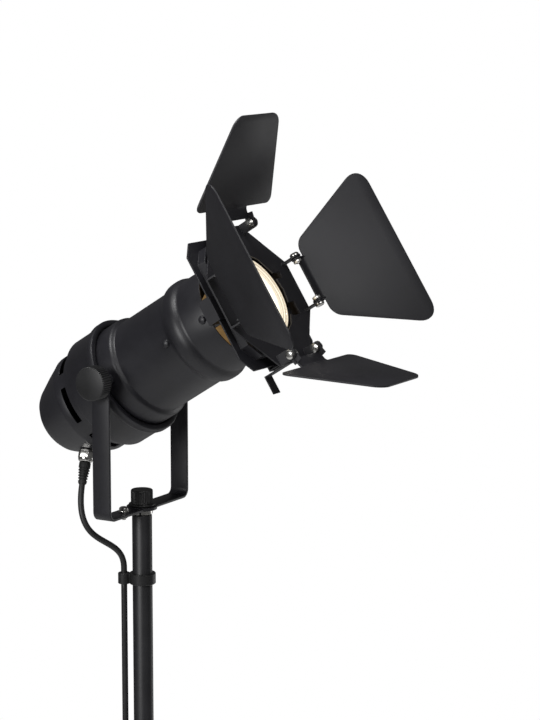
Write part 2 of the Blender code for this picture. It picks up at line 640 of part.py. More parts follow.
def build_tilt_clamps():
    """On each side a stud fast in the barrel wall, through the yoke's arm, and a hand knob on its end."""
    inside = math.sqrt((BULGE_R - SHEET) ** 2 - STUD_NUT_R ** 2) - GAP
    outside = BULGE_R + GAP
    base = YOKE_HALF + GAP
    stud_end = base + 0.7 * KNOB_LENGTH
    for name, angle in (("left", 180), ("right", 0)):
        place = about_z(angle) @ along_x()
        stud = turned([(0, inside - STUD_NUT), (STUD_NUT_R, inside - STUD_NUT), (STUD_NUT_R, inside),
                       (STUD_R, inside), (STUD_R, outside), (STUD_NUT_R, outside),
                       (STUD_NUT_R, outside + STUD_NUT), (STUD_R, outside + STUD_NUT), (STUD_R, stud_end),
                       (0, stud_end)], 12)
        node(f"tilt_stud_{name}", moved(stud, place), BLACK, head)
        bore, neck = STUD_R + GAP, KNOB_R - 4 * MM
        knob = turned([(0, stud_end + GAP), (bore, stud_end + GAP), (bore, base), (neck, base),
                       (neck, base + 1.5 * MM), (KNOB_R, base + 2.5 * MM), (KNOB_R, base + KNOB_LENGTH - MM),
                       (KNOB_R - MM, base + KNOB_LENGTH), (0, base + KNOB_LENGTH)], MEDIUM)
        node(f"tilt_knob_{name}", moved(knob, place), PLASTIC, head)


def build_pan_pivot():
    bore = PIVOT_R + GAP
    start = YOKE_SHEET / 2 + 0.4 * MM + GAP
    ledge = start + 1.5 * MM
    top = ledge + PAN_NUT_LENGTH - 3 * MM
    blind = top - 2 * MM
    nut = turned([(0, blind), (bore, blind), (bore, start), (PAN_FLANGE_R, start), (PAN_FLANGE_R, ledge),
                  (PAN_NUT_R, ledge), (PAN_NUT_R, top - MM), (PAN_NUT_R - MM, top), (0, top)], MEDIUM)
    node("pan_nut", nut, PLASTIC, pan)
    seat = -YOKE_SHEET / 2 - GAP
    ring = turned([(bore, seat - WASHER_SHEET), (WASHER_R, seat - WASHER_SHEET), (WASHER_R, seat),
                   (bore, seat)],
                  MEDIUM)
    node("spring_washer", ring, STEEL, pan)
    seat = YOKE_SHEET / 2 + GAP
    screw_r = EARTH_SCREW_R
    screw = turned([(0, -seat - 3 * MM), (screw_r, -seat - 3 * MM), (screw_r, seat), (2.4 * screw_r, seat),
                    (2.4 * screw_r, seat + MM), (2 * screw_r, seat + 1.2 * MM),
                    (2 * screw_r, seat + 2.4 * MM),
                    (1.2 * screw_r, seat + 3.4 * MM), (0, seat + 3.6 * MM)], 12)
    node("earth_screw", moved(screw, shift(x=EARTH_SCREW_X)), STEEL, pan)
    # the top of the mast is closed by a plug that carries the pivot pin
    inner = MAST_R - MAST_WALL
    pin_top = PAN_Z + blind - 0.6 * MM
    mast = turned([(0, MAST_TOP - 12 * MM), (inner, MAST_TOP - 12 * MM), (inner, MAST_BOTTOM),
                   (MAST_R, MAST_BOTTOM), (MAST_R, MAST_TOP - 0.6 * MM), (MAST_R - 0.6 * MM, MAST_TOP),
                   (PIVOT_R, MAST_TOP), (PIVOT_R, pin_top), (0, pin_top)], MEDIUM)
    combine(node("mast", mast, BLACK, stand), mast_guide(), "UNION")


def mast_guide():
    """The collar at the foot of the mast that guides it in the column."""
    outer = COLUMN_R - COLUMN_WALL - GAP
    inner = MAST_R - 0.5 * MAST_WALL
    return turned([(inner, MAST_BOTTOM), (outer, MAST_BOTTOM), (outer, MAST_BOTTOM + 20 * MM),
                   (inner, MAST_BOTTOM + 20 * MM)], MEDIUM)


# ---- Column and height lock
def build_column():
    node("column", tube(COLUMN_R, COLUMN_WALL, COLUMN_BOTTOM, COLUMN_TOP), BLACK, stand)
    bore, seat = MAST_R + GAP, COLUMN_R + GAP
    outer = COLUMN_R + COLLAR_WALL
    shoulder = COLUMN_TOP + GAP
    low = COLUMN_TOP - COLLAR_LAP
    shape = turned([(seat, low), (outer, low), (outer, COLLAR_TOP - MM), (outer - MM, COLLAR_TOP),
                    (bore, COLLAR_TOP), (bore, shoulder), (seat, shoulder)], MEDIUM)
    collar = node("height_collar", shape, PLASTIC, stand)
    place = shift(z=(shoulder + COLLAR_TOP) / 2) @ across(-1)
    boss = outer + 5 * MM
    combine(collar, moved(rod(5 * MM, MAST_R + 2 * MM, boss, 16), place), "UNION")
    combine(collar, moved(rod(SCREW_R + GAP, MAST_R - MM, boss + MM, 12), place))
    end = boss + GAP + SCREW_HEAD
    screw = turned([(0, MAST_R + 2 * GAP), (SCREW_R, MAST_R + 2 * GAP), (SCREW_R, boss + GAP),
                    (SCREW_HEAD_R - 3 * MM, boss + GAP), (SCREW_HEAD_R, boss + 2.5 * MM),
                    (SCREW_HEAD_R, end - MM), (SCREW_HEAD_R - MM, end), (0, end)], 18)
    node("height_screw", moved(screw, place), PLASTIC, stand)


# ---- Folding legs
def lugged_ring(name, pivot_z, slot):
    """A ring on the column with two lugs for each leg or brace: a fast pin, or slots for a pin."""
    low, high = pivot_z - HUB_HEIGHT / 2, pivot_z + HUB_HEIGHT / 2
    inner = COLUMN_R + GAP
    ring = node(name, turned([(inner, low), (HUB_R, low), (HUB_R, high), (inner, high)], MEDIUM), PLASTIC,
                stand)
    reach = PIVOT_RADIUS + 5 * MM
    for index in range(LEG_COUNT):
        spin = about_z(360 / LEG_COUNT * index - 90)
        for side in (-1, 1):
            near, far = sorted((side * LUG_GAP, side * (LUG_GAP + LUG_SHEET)))
            lug = block((HUB_R - 2 * MM, near, pivot_z - 7 * MM - slot), (reach, far, pivot_z + 7 * MM))
            edges = [edge for edge in lug.edges if edge.calc_length() < 2 * LUG_SHEET
                     and min(vert.co.x for vert in edge.verts) > HUB_R]
            bmesh.ops.bevel(lug, geom=edges, offset=4 * MM, segments=3, profile=0.5, affect="EDGES")
            combine(ring, moved(lug, spin), "UNION")
        pin_end = LUG_GAP + LUG_SHEET + MM
        place = spin @ shift(PIVOT_RADIUS, 0, pivot_z)
        if slot:
            hole = block((-PIN_R - GAP, -pin_end, -slot - PIN_R - 2 * GAP),
                         (PIN_R + GAP, pin_end, PIN_R + 2 * GAP))
            combine(ring, moved(hole, place))
        else:
            combine(ring, moved(rod(PIN_R, -pin_end, pin_end, 10), place @ across()), "UNION")


def build_leg(index):
    """A leg in its own frame: pivot at the origin, local -Z down the leg, local -X to the column."""
    around = math.radians(360 / LEG_COUNT * index - 90)
    place = (PIVOT_RADIUS * math.cos(around), PIVOT_RADIUS * math.sin(around), LEG_PIVOT_Z)
    axis = empty(f"leg_{index + 1}_axis", place, (0, -LEG_ANGLE, around), stand)
    half = BRACE_WIDTH / 2
    leg = node(f"leg_{index + 1}", rod(LEG_R, -LEG_LENGTH, -14 * MM, 12), BLACK, axis)
    combine(leg, block((-4.5 * MM, -half, -18 * MM), (4.5 * MM, half, 5 * MM)), "UNION")
    combine(leg, moved(rod(PIN_R + GAP, -8 * MM, 8 * MM, 10), across()))
    # bracket for the brace, with its pin fast in it
    cheek = BRACE_SHEET / 2 + GAP
    pivot = shift(-BRACKET_OUT, 0, -BRACE_LENGTH)
    for side in (-1, 1):
        near, far = sorted((side * cheek, side * (cheek + 1.6 * MM)))
        combine(leg, moved(block((-5 * MM, near, -5 * MM), (BRACKET_OUT - 3 * MM, far, 5 * MM)), pivot),
                "UNION")
    pin_end = cheek + 2.4 * MM
    combine(leg, moved(rod(PIN_R, -pin_end, pin_end, 10), pivot @ across()), "UNION")
    tip = -LEG_LENGTH
    cap = turned([(0, tip - 2 * FOOT_TIP), (FOOT_R, tip - 2 * FOOT_TIP),
                  (FOOT_R - 1.5 * MM, tip + FOOT_LENGTH),
                  (LEG_R + GAP, tip + FOOT_LENGTH), (LEG_R + GAP, tip - GAP), (0, tip - GAP)], 14)
    foot = node(f"foot_{index + 1}", cap, RUBBER, axis)
    sole = block((-2 * FOOT_R, -2 * FOOT_R, -4 * FOOT_TIP), (2 * FOOT_R, 2 * FOOT_R, 0))
    combine(foot, moved(sole, shift(z=tip - FOOT_TIP) @ Matrix.Rotation(LEG_ANGLE, 4, "Y")))
    # the brace runs from the bracket back to the sliding ring, its own frame's -Z along it
    bracket = Matrix.Rotation(-LEG_ANGLE, 4, "Y") @ Vector((-BRACKET_OUT, 0, -BRACE_LENGTH))
    start = Vector(place) + about_z(math.degrees(around)) @ bracket
    brace_axis = empty(f"brace_{index + 1}_axis", start, (0, BRACE_ANGLE, around), stand)
    wide = 3.6 * MM
    brace = node(f"brace_{index + 1}", block((-wide, -BRACE_SHEET / 2, -BRACE_REACH - wide),
                                             (wide, BRACE_SHEET / 2, wide)), BLACK, brace_axis)
    combine(brace, moved(rod(PIN_R + GAP, -3 * MM, 3 * MM, 10), across()))
    end_pin = LUG_GAP + LUG_SHEET + 0.8 * MM
    lower = shift(z=-BRACE_REACH) @ across()
    combine(brace, moved(rod(PIN_R, -end_pin, end_pin, 10), lower), "UNION")
    combine(brace, moved(rod(3.6 * MM, -LUG_GAP + GAP, LUG_GAP - GAP, 12), lower), "UNION")


# ---- Cord, its clips, switch and plug
def clip_point(offset, height):
    return Vector((offset * math.cos(CLIP_ANGLE), offset * math.sin(CLIP_ANGLE), height))


def build_clip(name, pole_r, offset, height):
    """A moulded clip round a pole, with a smaller eye for the cord beside it."""
    low, high = height - CLIP_HEIGHT / 2, height + CLIP_HEIGHT / 2
    clip = node(name, rod(pole_r + GAP + CLIP_SLEEVE, low, high, MEDIUM), PLASTIC, stand)
    turn = Matrix.Rotation(CLIP_ANGLE, 4, "Z")
    combine(clip, moved(rod(CORD_R + GAP + 1.8 * MM, low, high, 16), turn @ shift(x=offset)), "UNION")
    combine(clip, moved(block((0, -2.4 * MM, low), (offset, 2.4 * MM, high)), turn), "UNION")
    combine(clip, rod(pole_r + GAP, low - MM, high + MM, MEDIUM))
    combine(clip, moved(rod(CORD_R + GAP, low - MM, high + MM, 12), turn @ shift(x=offset)))


def build_cords():
    upper, middle = PAN_Z - UPPER_CLIP_DROP, PAN_Z - MIDDLE_CLIP_DROP
    build_clip("cord_clip_upper", MAST_R, CLIP_OFFSET, upper)
    build_clip("cord_clip_middle", MAST_R, CLIP_OFFSET, middle)
    build_clip("cord_clip_lower", COLUMN_R, LOWER_CLIP_OFFSET, LOWER_CLIP_Z)
    to_stand = shift(z=TILT_HEIGHT) @ Matrix.Rotation(math.pi / 2 - HEAD_TILT, 4, "X") @ gland_frame()
    grip_end = GAP + GLAND_HEX_LENGTH + GAP + GRIP_LENGTH
    half = CLIP_HEIGHT / 2
    into = clip_point(CLIP_OFFSET, upper + 0.5 * GAP)
    tip = to_stand @ Vector((0, 0, grip_end))
    drop = tip.lerp(into, 0.5) + Vector((-2 * MM, 4 * MM, -4 * MM))
    marks = [to_stand @ Vector((0, 0, grip_end - 12 * MM)), tip,
             to_stand @ Vector((0, 0, grip_end + 12 * MM)), drop,
             into + Vector((0, 0, half + 16 * MM)), into + Vector((0, 0, half + 4 * MM)), into]
    cord("cord_head", marks, 30, CORD_R, RUBBER, stand)
    cord("cord_mast", [clip_point(CLIP_OFFSET, upper - 0.5 * GAP),
                       clip_point(CLIP_OFFSET, middle + 0.5 * GAP)], 12,
         CORD_R, RUBBER, stand)
    top = clip_point(CLIP_OFFSET, middle - 0.5 * GAP)
    end = clip_point(LOWER_CLIP_OFFSET, LOWER_CLIP_Z + 0.5 * GAP)
    cord("cord_height", [top, clip_point(CLIP_OFFSET + MM, 0.3 * top.z + 0.7 * COLLAR_TOP + 50 * MM),
                         clip_point(LOWER_CLIP_OFFSET, COLLAR_TOP + 40 * MM),
                         clip_point(LOWER_CLIP_OFFSET, COLLAR_TOP),
                         end], 24, CORD_R, RUBBER, stand)
    build_floor_cord()


def build_floor_cord():
    floor = CORD_R + GAP
    coil = turned([(COIL_R - COIL_HALF, 2 * MM), (COIL_R - COIL_HALF + 2 * MM, 0.2 * MM),
                   (COIL_R + COIL_HALF - 2 * MM, 0.2 * MM), (COIL_R + COIL_HALF, 2 * MM),
                   (COIL_R + COIL_HALF, 2 * COIL_HALF - 2 * MM),
                   (COIL_R + COIL_HALF - 2 * MM, 2 * COIL_HALF),
                   (COIL_R - COIL_HALF + 2 * MM, 2 * COIL_HALF),
                   (COIL_R - COIL_HALF, 2 * COIL_HALF - 2 * MM)],
                  MEDIUM)
    node("cord_coil", moved(coil, shift(COIL_X, COIL_Y)), RUBBER, stand)
    # the cord leaves the coil at a tangent, through the switch on one side and to the plug on the other
    edge = COIL_X - math.sqrt((COIL_R + COIL_HALF) ** 2 - (COIL_R - BOOT_R) ** 2) - 2 * GAP
    boot_z = BOOT_R + 1.2 * MM
    switch_y, plug_y = COIL_Y + COIL_R, COIL_Y - COIL_R
    switch_high = edge - BOOT_LENGTH
    switch_low = switch_high - SWITCH_LENGTH
    body = block((switch_low, switch_y - SWITCH_HALF, 0.2 * MM),
                 (switch_high, switch_y + SWITCH_HALF, SWITCH_HEIGHT))
    bmesh.ops.bevel(body, geom=body.edges[:], offset=3 * MM, segments=2, profile=0.5, affect="EDGES")
    switch = node("switch_body", body, PLASTIC, stand)
    middle = (switch_low + switch_high) / 2
    for start, end in ((edge, switch_high - 2 * MM), (switch_low - BOOT_LENGTH, switch_low + 2 * MM)):
        low, high = sorted((start, end))
        combine(switch, moved(rod(BOOT_R, low, high, 14), shift(y=switch_y, z=boot_z) @ along_x()), "UNION")
    socket = rod(CORD_R + GAP, switch_low - BOOT_LENGTH - MM, switch_low - 4 * MM, 12)
    combine(switch, moved(socket, shift(y=switch_y, z=boot_z) @ along_x()))
    well = SWITCH_HEIGHT - 7 * MM
    combine(switch, moved(rod(BUTTON_R + GAP, well, SWITCH_HEIGHT + MM, MEDIUM), shift(middle, switch_y)))
    button = turned([(0, well + 3 * MM), (BUTTON_R, well + 3 * MM),
                     (BUTTON_R, SWITCH_HEIGHT + BUTTON_RISE - MM),
                     (BUTTON_R - MM, SWITCH_HEIGHT + BUTTON_RISE), (0, SWITCH_HEIGHT + BUTTON_RISE)], MEDIUM)
    node("switch_button", moved(button, shift(middle, switch_y)), PLASTIC, stand)
    build_plug(edge, plug_y, boot_z)
    start = clip_point(LOWER_CLIP_OFFSET, LOWER_CLIP_Z - 0.5 * GAP)
    entry = Vector((switch_low - BOOT_LENGTH + 6 * MM, switch_y, boot_z))
    down_y = HUB_R + 5 * MM
    marks = [start, clip_point(LOWER_CLIP_OFFSET, LOWER_CLIP_Z - 20 * MM),
             clip_point(LOWER_CLIP_OFFSET, LOWER_CLIP_Z - 50 * MM), (-5 * MM, down_y - 2 * MM, 0.68),
             (0, down_y, 0.55), (0, down_y, 0.4), (0, down_y, 0.25),
             (0, down_y, 0.13), (0, down_y + MM, 0.05), (-3 * MM, down_y + 5 * MM, 0.02),
             (-15 * MM, down_y + 16 * MM, 0.005), (-36 * MM, 52 * MM, floor + 0.5 * GAP),
             (-62 * MM, 72 * MM, floor),
             (-72 * MM, 96 * MM, floor), (entry.x - 36 * MM, switch_y - 3 * MM, floor), entry
             - Vector((20 * MM, 0, 0)),
             entry - Vector((10 * MM, 0, 0)), entry]
    cord("cord_floor", marks, 80, CORD_R, RUBBER, stand)


def build_plug(edge, plug_y, boot_z):
    """A three-pin plug lying on its back, its cord boot towards the coil."""
    high = edge - BOOT_LENGTH
    low = high - PLUG_LENGTH
    outline = rounded([(low, plug_y - 0.7 * PLUG_HALF), (high, plug_y - PLUG_HALF + 2 * MM),
                       (high, plug_y + PLUG_HALF - 2 * MM), (low, plug_y + 0.7 * PLUG_HALF)],
                      [6 * MM, 6 * MM, 6 * MM, 6 * MM])
    plug = node("plug", extruded(outline, 0.2 * MM, PLUG_HEIGHT), PLASTIC, stand)
    boot = rod(BOOT_R, high - 3 * MM, edge, 14)
    combine(plug, moved(boot, shift(y=plug_y, z=boot_z) @ along_x()), "UNION")
    middle = (low + high) / 2
    for x, y, half_x, half_y, length in ((middle - 9 * MM, 0, 4 * MM, 2 * MM, 22 * MM),
                                         (middle + 13 * MM, 11 * MM, 2 * MM, 3.2 * MM, 18 * MM),
                                         (middle + 13 * MM, -11 * MM, 2 * MM, 3.2 * MM, 18 * MM)):
        pin = block((x - half_x, plug_y + y - half_y, PLUG_HEIGHT - 2 * MM),
                    (x + half_x, plug_y + y + half_y, PLUG_HEIGHT + length))
        combine(plug, pin, "UNION")


build_barrel()
build_cap()
build_gland()
build_lamp()
build_clips()
build_slide_plate()
build_door_frame()
build_leaf("right", 0, SIDE_DEPTH, SIDE_INNER, SIDE_OUTER)
build_leaf("top", 90, END_DEPTH, END_INNER, END_OUTER)
build_leaf("left", 180, SIDE_DEPTH, SIDE_INNER, SIDE_OUTER)
build_leaf("bottom", 270, END_DEPTH, END_INNER, END_OUTER)
build_yoke()
build_tilt_clamps()
build_pan_pivot()
build_column()
lugged_ring("leg_hub", LEG_PIVOT_Z, 0)
lugged_ring("brace_collar", BRACE_PIVOT_Z, 11 * MM)
for number in range(LEG_COUNT):
    build_leg(number)
build_cords()
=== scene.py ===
import json
import math

import bmesh
import bpy
from mathutils import Matrix, Vector


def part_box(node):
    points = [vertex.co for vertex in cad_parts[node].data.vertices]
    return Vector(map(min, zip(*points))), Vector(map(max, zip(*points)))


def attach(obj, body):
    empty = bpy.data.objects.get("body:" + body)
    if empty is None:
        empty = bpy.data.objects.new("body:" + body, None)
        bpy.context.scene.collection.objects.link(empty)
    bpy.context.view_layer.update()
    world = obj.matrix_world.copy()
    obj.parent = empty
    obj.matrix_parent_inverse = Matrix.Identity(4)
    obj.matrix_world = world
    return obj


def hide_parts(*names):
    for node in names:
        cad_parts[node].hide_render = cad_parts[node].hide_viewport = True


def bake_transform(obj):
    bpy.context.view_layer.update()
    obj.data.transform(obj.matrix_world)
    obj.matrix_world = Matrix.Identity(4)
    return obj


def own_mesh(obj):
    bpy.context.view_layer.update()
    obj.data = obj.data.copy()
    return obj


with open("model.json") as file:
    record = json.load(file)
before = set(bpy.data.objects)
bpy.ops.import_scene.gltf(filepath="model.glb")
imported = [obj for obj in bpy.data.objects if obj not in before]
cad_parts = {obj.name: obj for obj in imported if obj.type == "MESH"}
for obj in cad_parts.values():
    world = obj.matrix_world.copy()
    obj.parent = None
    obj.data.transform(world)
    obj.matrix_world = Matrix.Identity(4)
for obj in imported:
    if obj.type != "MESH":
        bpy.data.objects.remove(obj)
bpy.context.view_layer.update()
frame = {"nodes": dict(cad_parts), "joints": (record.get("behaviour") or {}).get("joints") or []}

mm = 0.001
joints = {joint["name"]: joint for joint in frame["joints"]}
tiltCentre = Vector(joints["head_tilt"]["pos_m"])
panCentre = Vector(joints["yoke_pan"]["pos_m"])
columnY = tiltCentre.y
headUp = math.radians(32)  # how far the head looks up at rest
headTurn = Matrix.Translation(tiltCentre) @ Matrix.Rotation(math.pi / 2 - headUp, 4, "X")
standTurn = Matrix.Translation((0, columnY, 0))
yokeTurn = Matrix.Translation(panCentre)
print("frame loaded,", len(frame["nodes"]), "nodes")


# a new object, linked into the scene
def placed(name, data):
    item = bpy.data.objects.new(name, data)
    bpy.context.collection.objects.link(item)
    return item


# camera

camera = {
    "distance": (-1277.1 * mm, -854.0 * mm, 256.1 * mm),  # from the tilt centre
    "azimuth": math.radians(-59.33),
    "elevation": math.radians(9.21),
    "lens": 120.95,
}


def makeCamera(settings):
    lens = bpy.data.cameras.new("viewer")
    lens.sensor_fit = "VERTICAL"
    lens.sensor_height = 36
    lens.lens = settings["lens"]
    viewer = placed("viewer", lens)
    viewer.location = tiltCentre + Vector(settings["distance"])
    viewer.rotation_euler = (math.pi / 2 - settings["elevation"], 0, settings["azimuth"])
    bpy.context.scene.camera = viewer


makeCamera(camera)


# materials

# a shader value that can be used in sums
class Signal:
    def __init__(self, finish, socket):
        self.finish = finish
        self.socket = socket

    def sum(self, operation, first, second):
        return self.finish.add("ShaderNodeMath", {"operation": operation}, {0: first, 1: second})

    def __add__(self, other):
        return self.sum("ADD", self, other)

    def __radd__(self, other):
        return self.sum("ADD", other, self)

    def __mul__(self, other):
        return self.sum("MULTIPLY", self, other)

    def __rmul__(self, other):
        return self.sum("MULTIPLY", other, self)

    def __pow__(self, other):
        return self.sum("POWER", self, other)

    def __rpow__(self, other):
        return self.sum("POWER", other, self)


class Finish:
    def __init__(self, name, constants):
        self.material = bpy.data.materials.new(name)
        self.material.use_nodes = True
        self.nodes = self.material.node_tree.nodes
        self.links = self.material.node_tree.links
        self.shader = self.nodes["Principled BSDF"]
        for socket, value in constants.items():
            self.shader.inputs[socket].default_value = value

    def add(self, kind, settings, sockets, output=0):
        node = self.nodes.new(kind)
        for name, value in settings.items():
            if name == "stops":
                for index, (place, color) in enumerate(value):
                    stop = node.color_ramp.elements[index] if index < 2 else node.color_ramp.elements.new(place)
                    stop.position = place
                    stop.color = (*color, 1)
            else:
                setattr(node, name, value)
        for name, value in sockets.items():
            if isinstance(value, Signal):
                self.links.new(value.socket, node.inputs[name])
            else:
                node.inputs[name].default_value = value
        return Signal(self, node.outputs[output])

    def place(self, centre=(0, 0, 0), turn=(0, 0, 0)):
        raw = self.add("ShaderNodeTexCoord", {}, {}, "Object")
        return self.add("ShaderNodeMapping", {"vector_type": "TEXTURE"},
                        {"Vector": raw, "Location": centre, "Rotation": turn})

    def noise(self, scale, detail=2.0, roughness=0.5, vector=None):
        sockets = {"Vector": vector or self.place(), "Scale": scale, "Detail": detail,
                   "Roughness": roughness}
        return self.add("ShaderNodeTexNoise", {}, sockets)

    def ramp(self, signal, stops):
        return self.add("ShaderNodeValToRGB", {"stops": stops}, {"Fac": signal})

    def feed(self, name, signal):
        self.links.new(signal.socket, self.shader.inputs[name])

    def bump(self, height, strength, distance):
        self.feed("Normal", self.add("ShaderNodeBump", {}, {"Height": height, "Strength": strength,
                                                            "Distance": distance}))


# powder coat: a fine pebbled skin, slightly cloudy, with a little settled dust
def coatedMetal(name, dark, light, roughness, grain):
    finish = Finish(name, {"Specular IOR Level": 0.5})
    cloud = finish.noise(38, 3, 0.55)
    pebble = finish.noise(grain, 2, 0.6)
    dust = finish.noise(260, 4, 0.65)
    finish.feed("Base Color", finish.ramp(cloud * 0.8 + dust * 0.2, [(0.3, dark), (0.72, light)]))
    finish.feed("Roughness", roughness - 0.06 + cloud * 0.1 + dust * 0.05)
    finish.bump(pebble + dust * 0.35, 0.16, 0.00012)
    return finish.material


def mouldedPlastic(name, dark, light, roughness):
    finish = Finish(name, {})
    spark = finish.noise(1500, 1, 0.5)
    flow = finish.noise(55, 2, 0.5)
    finish.feed("Base Color", finish.ramp(flow, [(0.35, dark), (0.7, light)]))
    finish.feed("Roughness", roughness - 0.05 + flow * 0.08 + spark * 0.06)
    finish.bump(spark, 0.22, 0.0001)
    return finish.material


def sheathRubber(name, dark, light, roughness):
    finish = Finish(name, {})
    skin = finish.noise(700, 3, 0.6)
    wear = finish.noise(90, 3, 0.6)
    finish.feed("Base Color", finish.ramp(wear, [(0.3, dark), (0.75, light)]))
    finish.feed("Roughness", roughness - 0.04 + wear * 0.12)
    finish.bump(skin + wear * 0.5, 0.2, 0.00015)
    return finish.material


# plated steel with fine turning marks and faint haze
def brightSteel(name, dark, light, roughness):
    finish = Finish(name, {"Metallic": 1.0})
    haze = finish.noise(300, 3, 0.6)
    scratch = finish.add("ShaderNodeTexNoise", {}, {
        "Vector": finish.add("ShaderNodeMapping", {}, {"Vector": finish.place(), "Scale": (1, 1, 14)}),
        "Scale": 500.0, "Detail": 2.0})
    finish.feed("Base Color", finish.ramp(haze, [(0.3, dark), (0.7, light)]))
    finish.feed("Roughness", roughness + haze * 0.1 + scratch * 0.08)
    finish.bump(scratch, 0.06, 0.0001)
    return finish.material


def litLens(name):
    # the lit front glass: pressed rings round the head's axis, white in the middle and amber at the rim
    finish = Finish(name, {"Roughness": 0.12, "Emission Strength": 1.25, "Base Color": (0.85, 0.8, 0.7, 1)})
    local = finish.place(tiltCentre, (math.pi / 2 - headUp, 0, 0))
    split = finish.add("ShaderNodeSeparateXYZ", {}, {"Vector": local})
    across = Signal(finish, split.socket.node.outputs["X"])
    upward = Signal(finish, split.socket.node.outputs["Y"])
    radius = (across * across + upward * upward) ** 0.5
    rings = finish.add("ShaderNodeMath", {"operation": "SINE"}, {0: radius * 2900})
    depth = radius * (1000 / 28.6) + rings * 0.13
    glow = finish.ramp(depth, [(0.0, (1, 0.98, 0.93)), (0.42, (1, 0.96, 0.87)), (0.62, (0.84, 0.76, 0.6)),
                               (0.86, (0.5, 0.42, 0.29)), (1.0, (0.16, 0.12, 0.07))])
    finish.feed("Emission Color", glow)
    finish.bump(rings, 0.3, 0.0003)
    return finish.material


def warmCup(name):
    # the glass behind the lit front: thin brown mirror coat with light coming through
    finish = Finish(name, {"Emission Strength": 0.22})
    streak = finish.noise(120, 3, 0.6)
    finish.feed("Base Color", finish.ramp(streak, [(0.3, (0.10, 0.06, 0.03)), (0.7, (0.2, 0.13, 0.07))]))
    finish.feed("Emission Color", finish.ramp(streak, [(0.3, (0.55, 0.3, 0.1)), (0.7, (0.95, 0.6, 0.25))]))
    finish.feed("Roughness", 0.2 + streak * 0.2)
    return finish.material


def glazedCeramic(name):
    finish = Finish(name, {"Coat Weight": 0.4, "Coat Roughness": 0.15})
    speck = finish.noise(400, 3, 0.6)
    finish.feed("Base Color", finish.ramp(speck, [(0.3, (0.62, 0.6, 0.54)), (0.6, (0.8, 0.78, 0.72))]))
    finish.feed("Roughness", 0.35 + speck * 0.15)
    finish.bump(speck, 0.1, 0.0002)
    return finish.material


paint = coatedMetal("headPowderCoat", (0.0080, 0.0078, 0.0102), (0.0140, 0.0137, 0.0178), 0.42, 1300)
doorPaint = coatedMetal("doorMattCoat", (0.0080, 0.0077, 0.0100), (0.0140, 0.0135, 0.0172), 0.50, 1600)
standPaint = coatedMetal("standPowderCoat", (0.0100, 0.0100, 0.0115), (0.0170, 0.0170, 0.0195), 0.42, 1100)
plastic = mouldedPlastic("knobPlastic", (0.0080, 0.0080, 0.0085), (0.0160, 0.0160, 0.0170), 0.42)
rubber = sheathRubber("softRubber", (0.0070, 0.0070, 0.0070), (0.0150, 0.0150, 0.0150), 0.62)
sheath = sheathRubber("cordSheath", (0.0080, 0.0080, 0.0080), (0.0140, 0.0140, 0.0145), 0.46)
steel = brightSteel("platedSteel", (0.52, 0.51, 0.49), (0.74, 0.73, 0.70), 0.14)
lens = litLens("litLensGlass")
cupGlass = warmCup("lampCupGlass")
ceramic = glazedCeramic("glazedCeramic")
print("materials made")


# modelling helpers

# closes seams and turns every face outward
def bounded(shape, merge=1e-6):
    bmesh.ops.remove_doubles(shape, verts=shape.verts, dist=merge)
    bmesh.ops.recalc_face_normals(shape, faces=shape.faces)
    return shape


def turned(shape, matrix):
    bmesh.ops.transform(shape, matrix=matrix, verts=shape.verts)
    return shape


def scaled(pairs):
    return [(radius * mm, height * mm) for radius, height in pairs]


# spins radius and height pairs round Z; a loop closes the profile on itself
def spun(profile, steps=64, loop=False):
    shape = bmesh.new()
    verts = [shape.verts.new((radius, 0, height)) for radius, height in profile]
    edges = [shape.edges.new(pair) for pair in zip(verts, verts[1:])]
    if loop:
        edges.append(shape.edges.new((verts[-1], verts[0])))
    bmesh.ops.spin(shape, geom=verts + edges, axis=(0, 0, 1), cent=(0, 0, 0), angle=math.tau, steps=steps,
                   use_merge=True)
    return bounded(shape)


# puts the faces of other shapes into the first
def added(shape, *others):
    for other in others:
        carrier = bpy.data.meshes.new("carrier")
        other.to_mesh(carrier)
        other.free()
        shape.from_mesh(carrier)
        bpy.data.meshes.remove(carrier)
    return shape


def slab(low, high, bevel=0.0, segments=2):
    shape = bmesh.new()
    bmesh.ops.create_cube(shape, size=1)
    size = [b - a for a, b in zip(low, high)]
    middle = [(a + b) / 2 for a, b in zip(low, high)]
    turned(shape, Matrix.Translation(middle) @ Matrix.Diagonal((*size, 1)))
    if bevel:
        rounded(shape, shape.edges[:], bevel, segments)
    return shape


def rounded(shape, edges, width, segments=2):
    bmesh.ops.bevel(shape, geom=edges, offset=width, segments=segments, profile=0.5, affect="EDGES",
                    material=-1)


# lifts a copy of flat faces straight up, with walls between
def raised(shape, faces, height):
    rise = bmesh.ops.extrude_face_region(shape, geom=faces)
    top = [item for item in rise["geom"] if isinstance(item, bmesh.types.BMVert)]
    bmesh.ops.translate(shape, verts=top, vec=(0, 0, height))


# draws an edge out into a new face and gives the edge that moved
def drawnOut(shape, edge, move):
    rim = bmesh.ops.extrude_edge_only(shape, edges=[edge])["geom"]
    moved = [item for item in rim if isinstance(item, bmesh.types.BMVert)]
    bmesh.ops.translate(shape, verts=moved, vec=move)
    return next(item for item in rim if isinstance(item, bmesh.types.BMEdge)
                and all(vert in moved for vert in item.verts))


# a welded copy of one of the frame's meshes, its flat facets joined
def fromFrame(name):
    weldReach, flatEnough = 5e-6, math.radians(0.4)
    shape = bmesh.new()
    shape.from_mesh(frame["nodes"][name].data)
    bounded(shape, weldReach)
    bmesh.ops.dissolve_limit(shape, angle_limit=flatEnough, use_dissolve_boundaries=False, verts=shape.verts,
                             edges=shape.edges)
    return shape


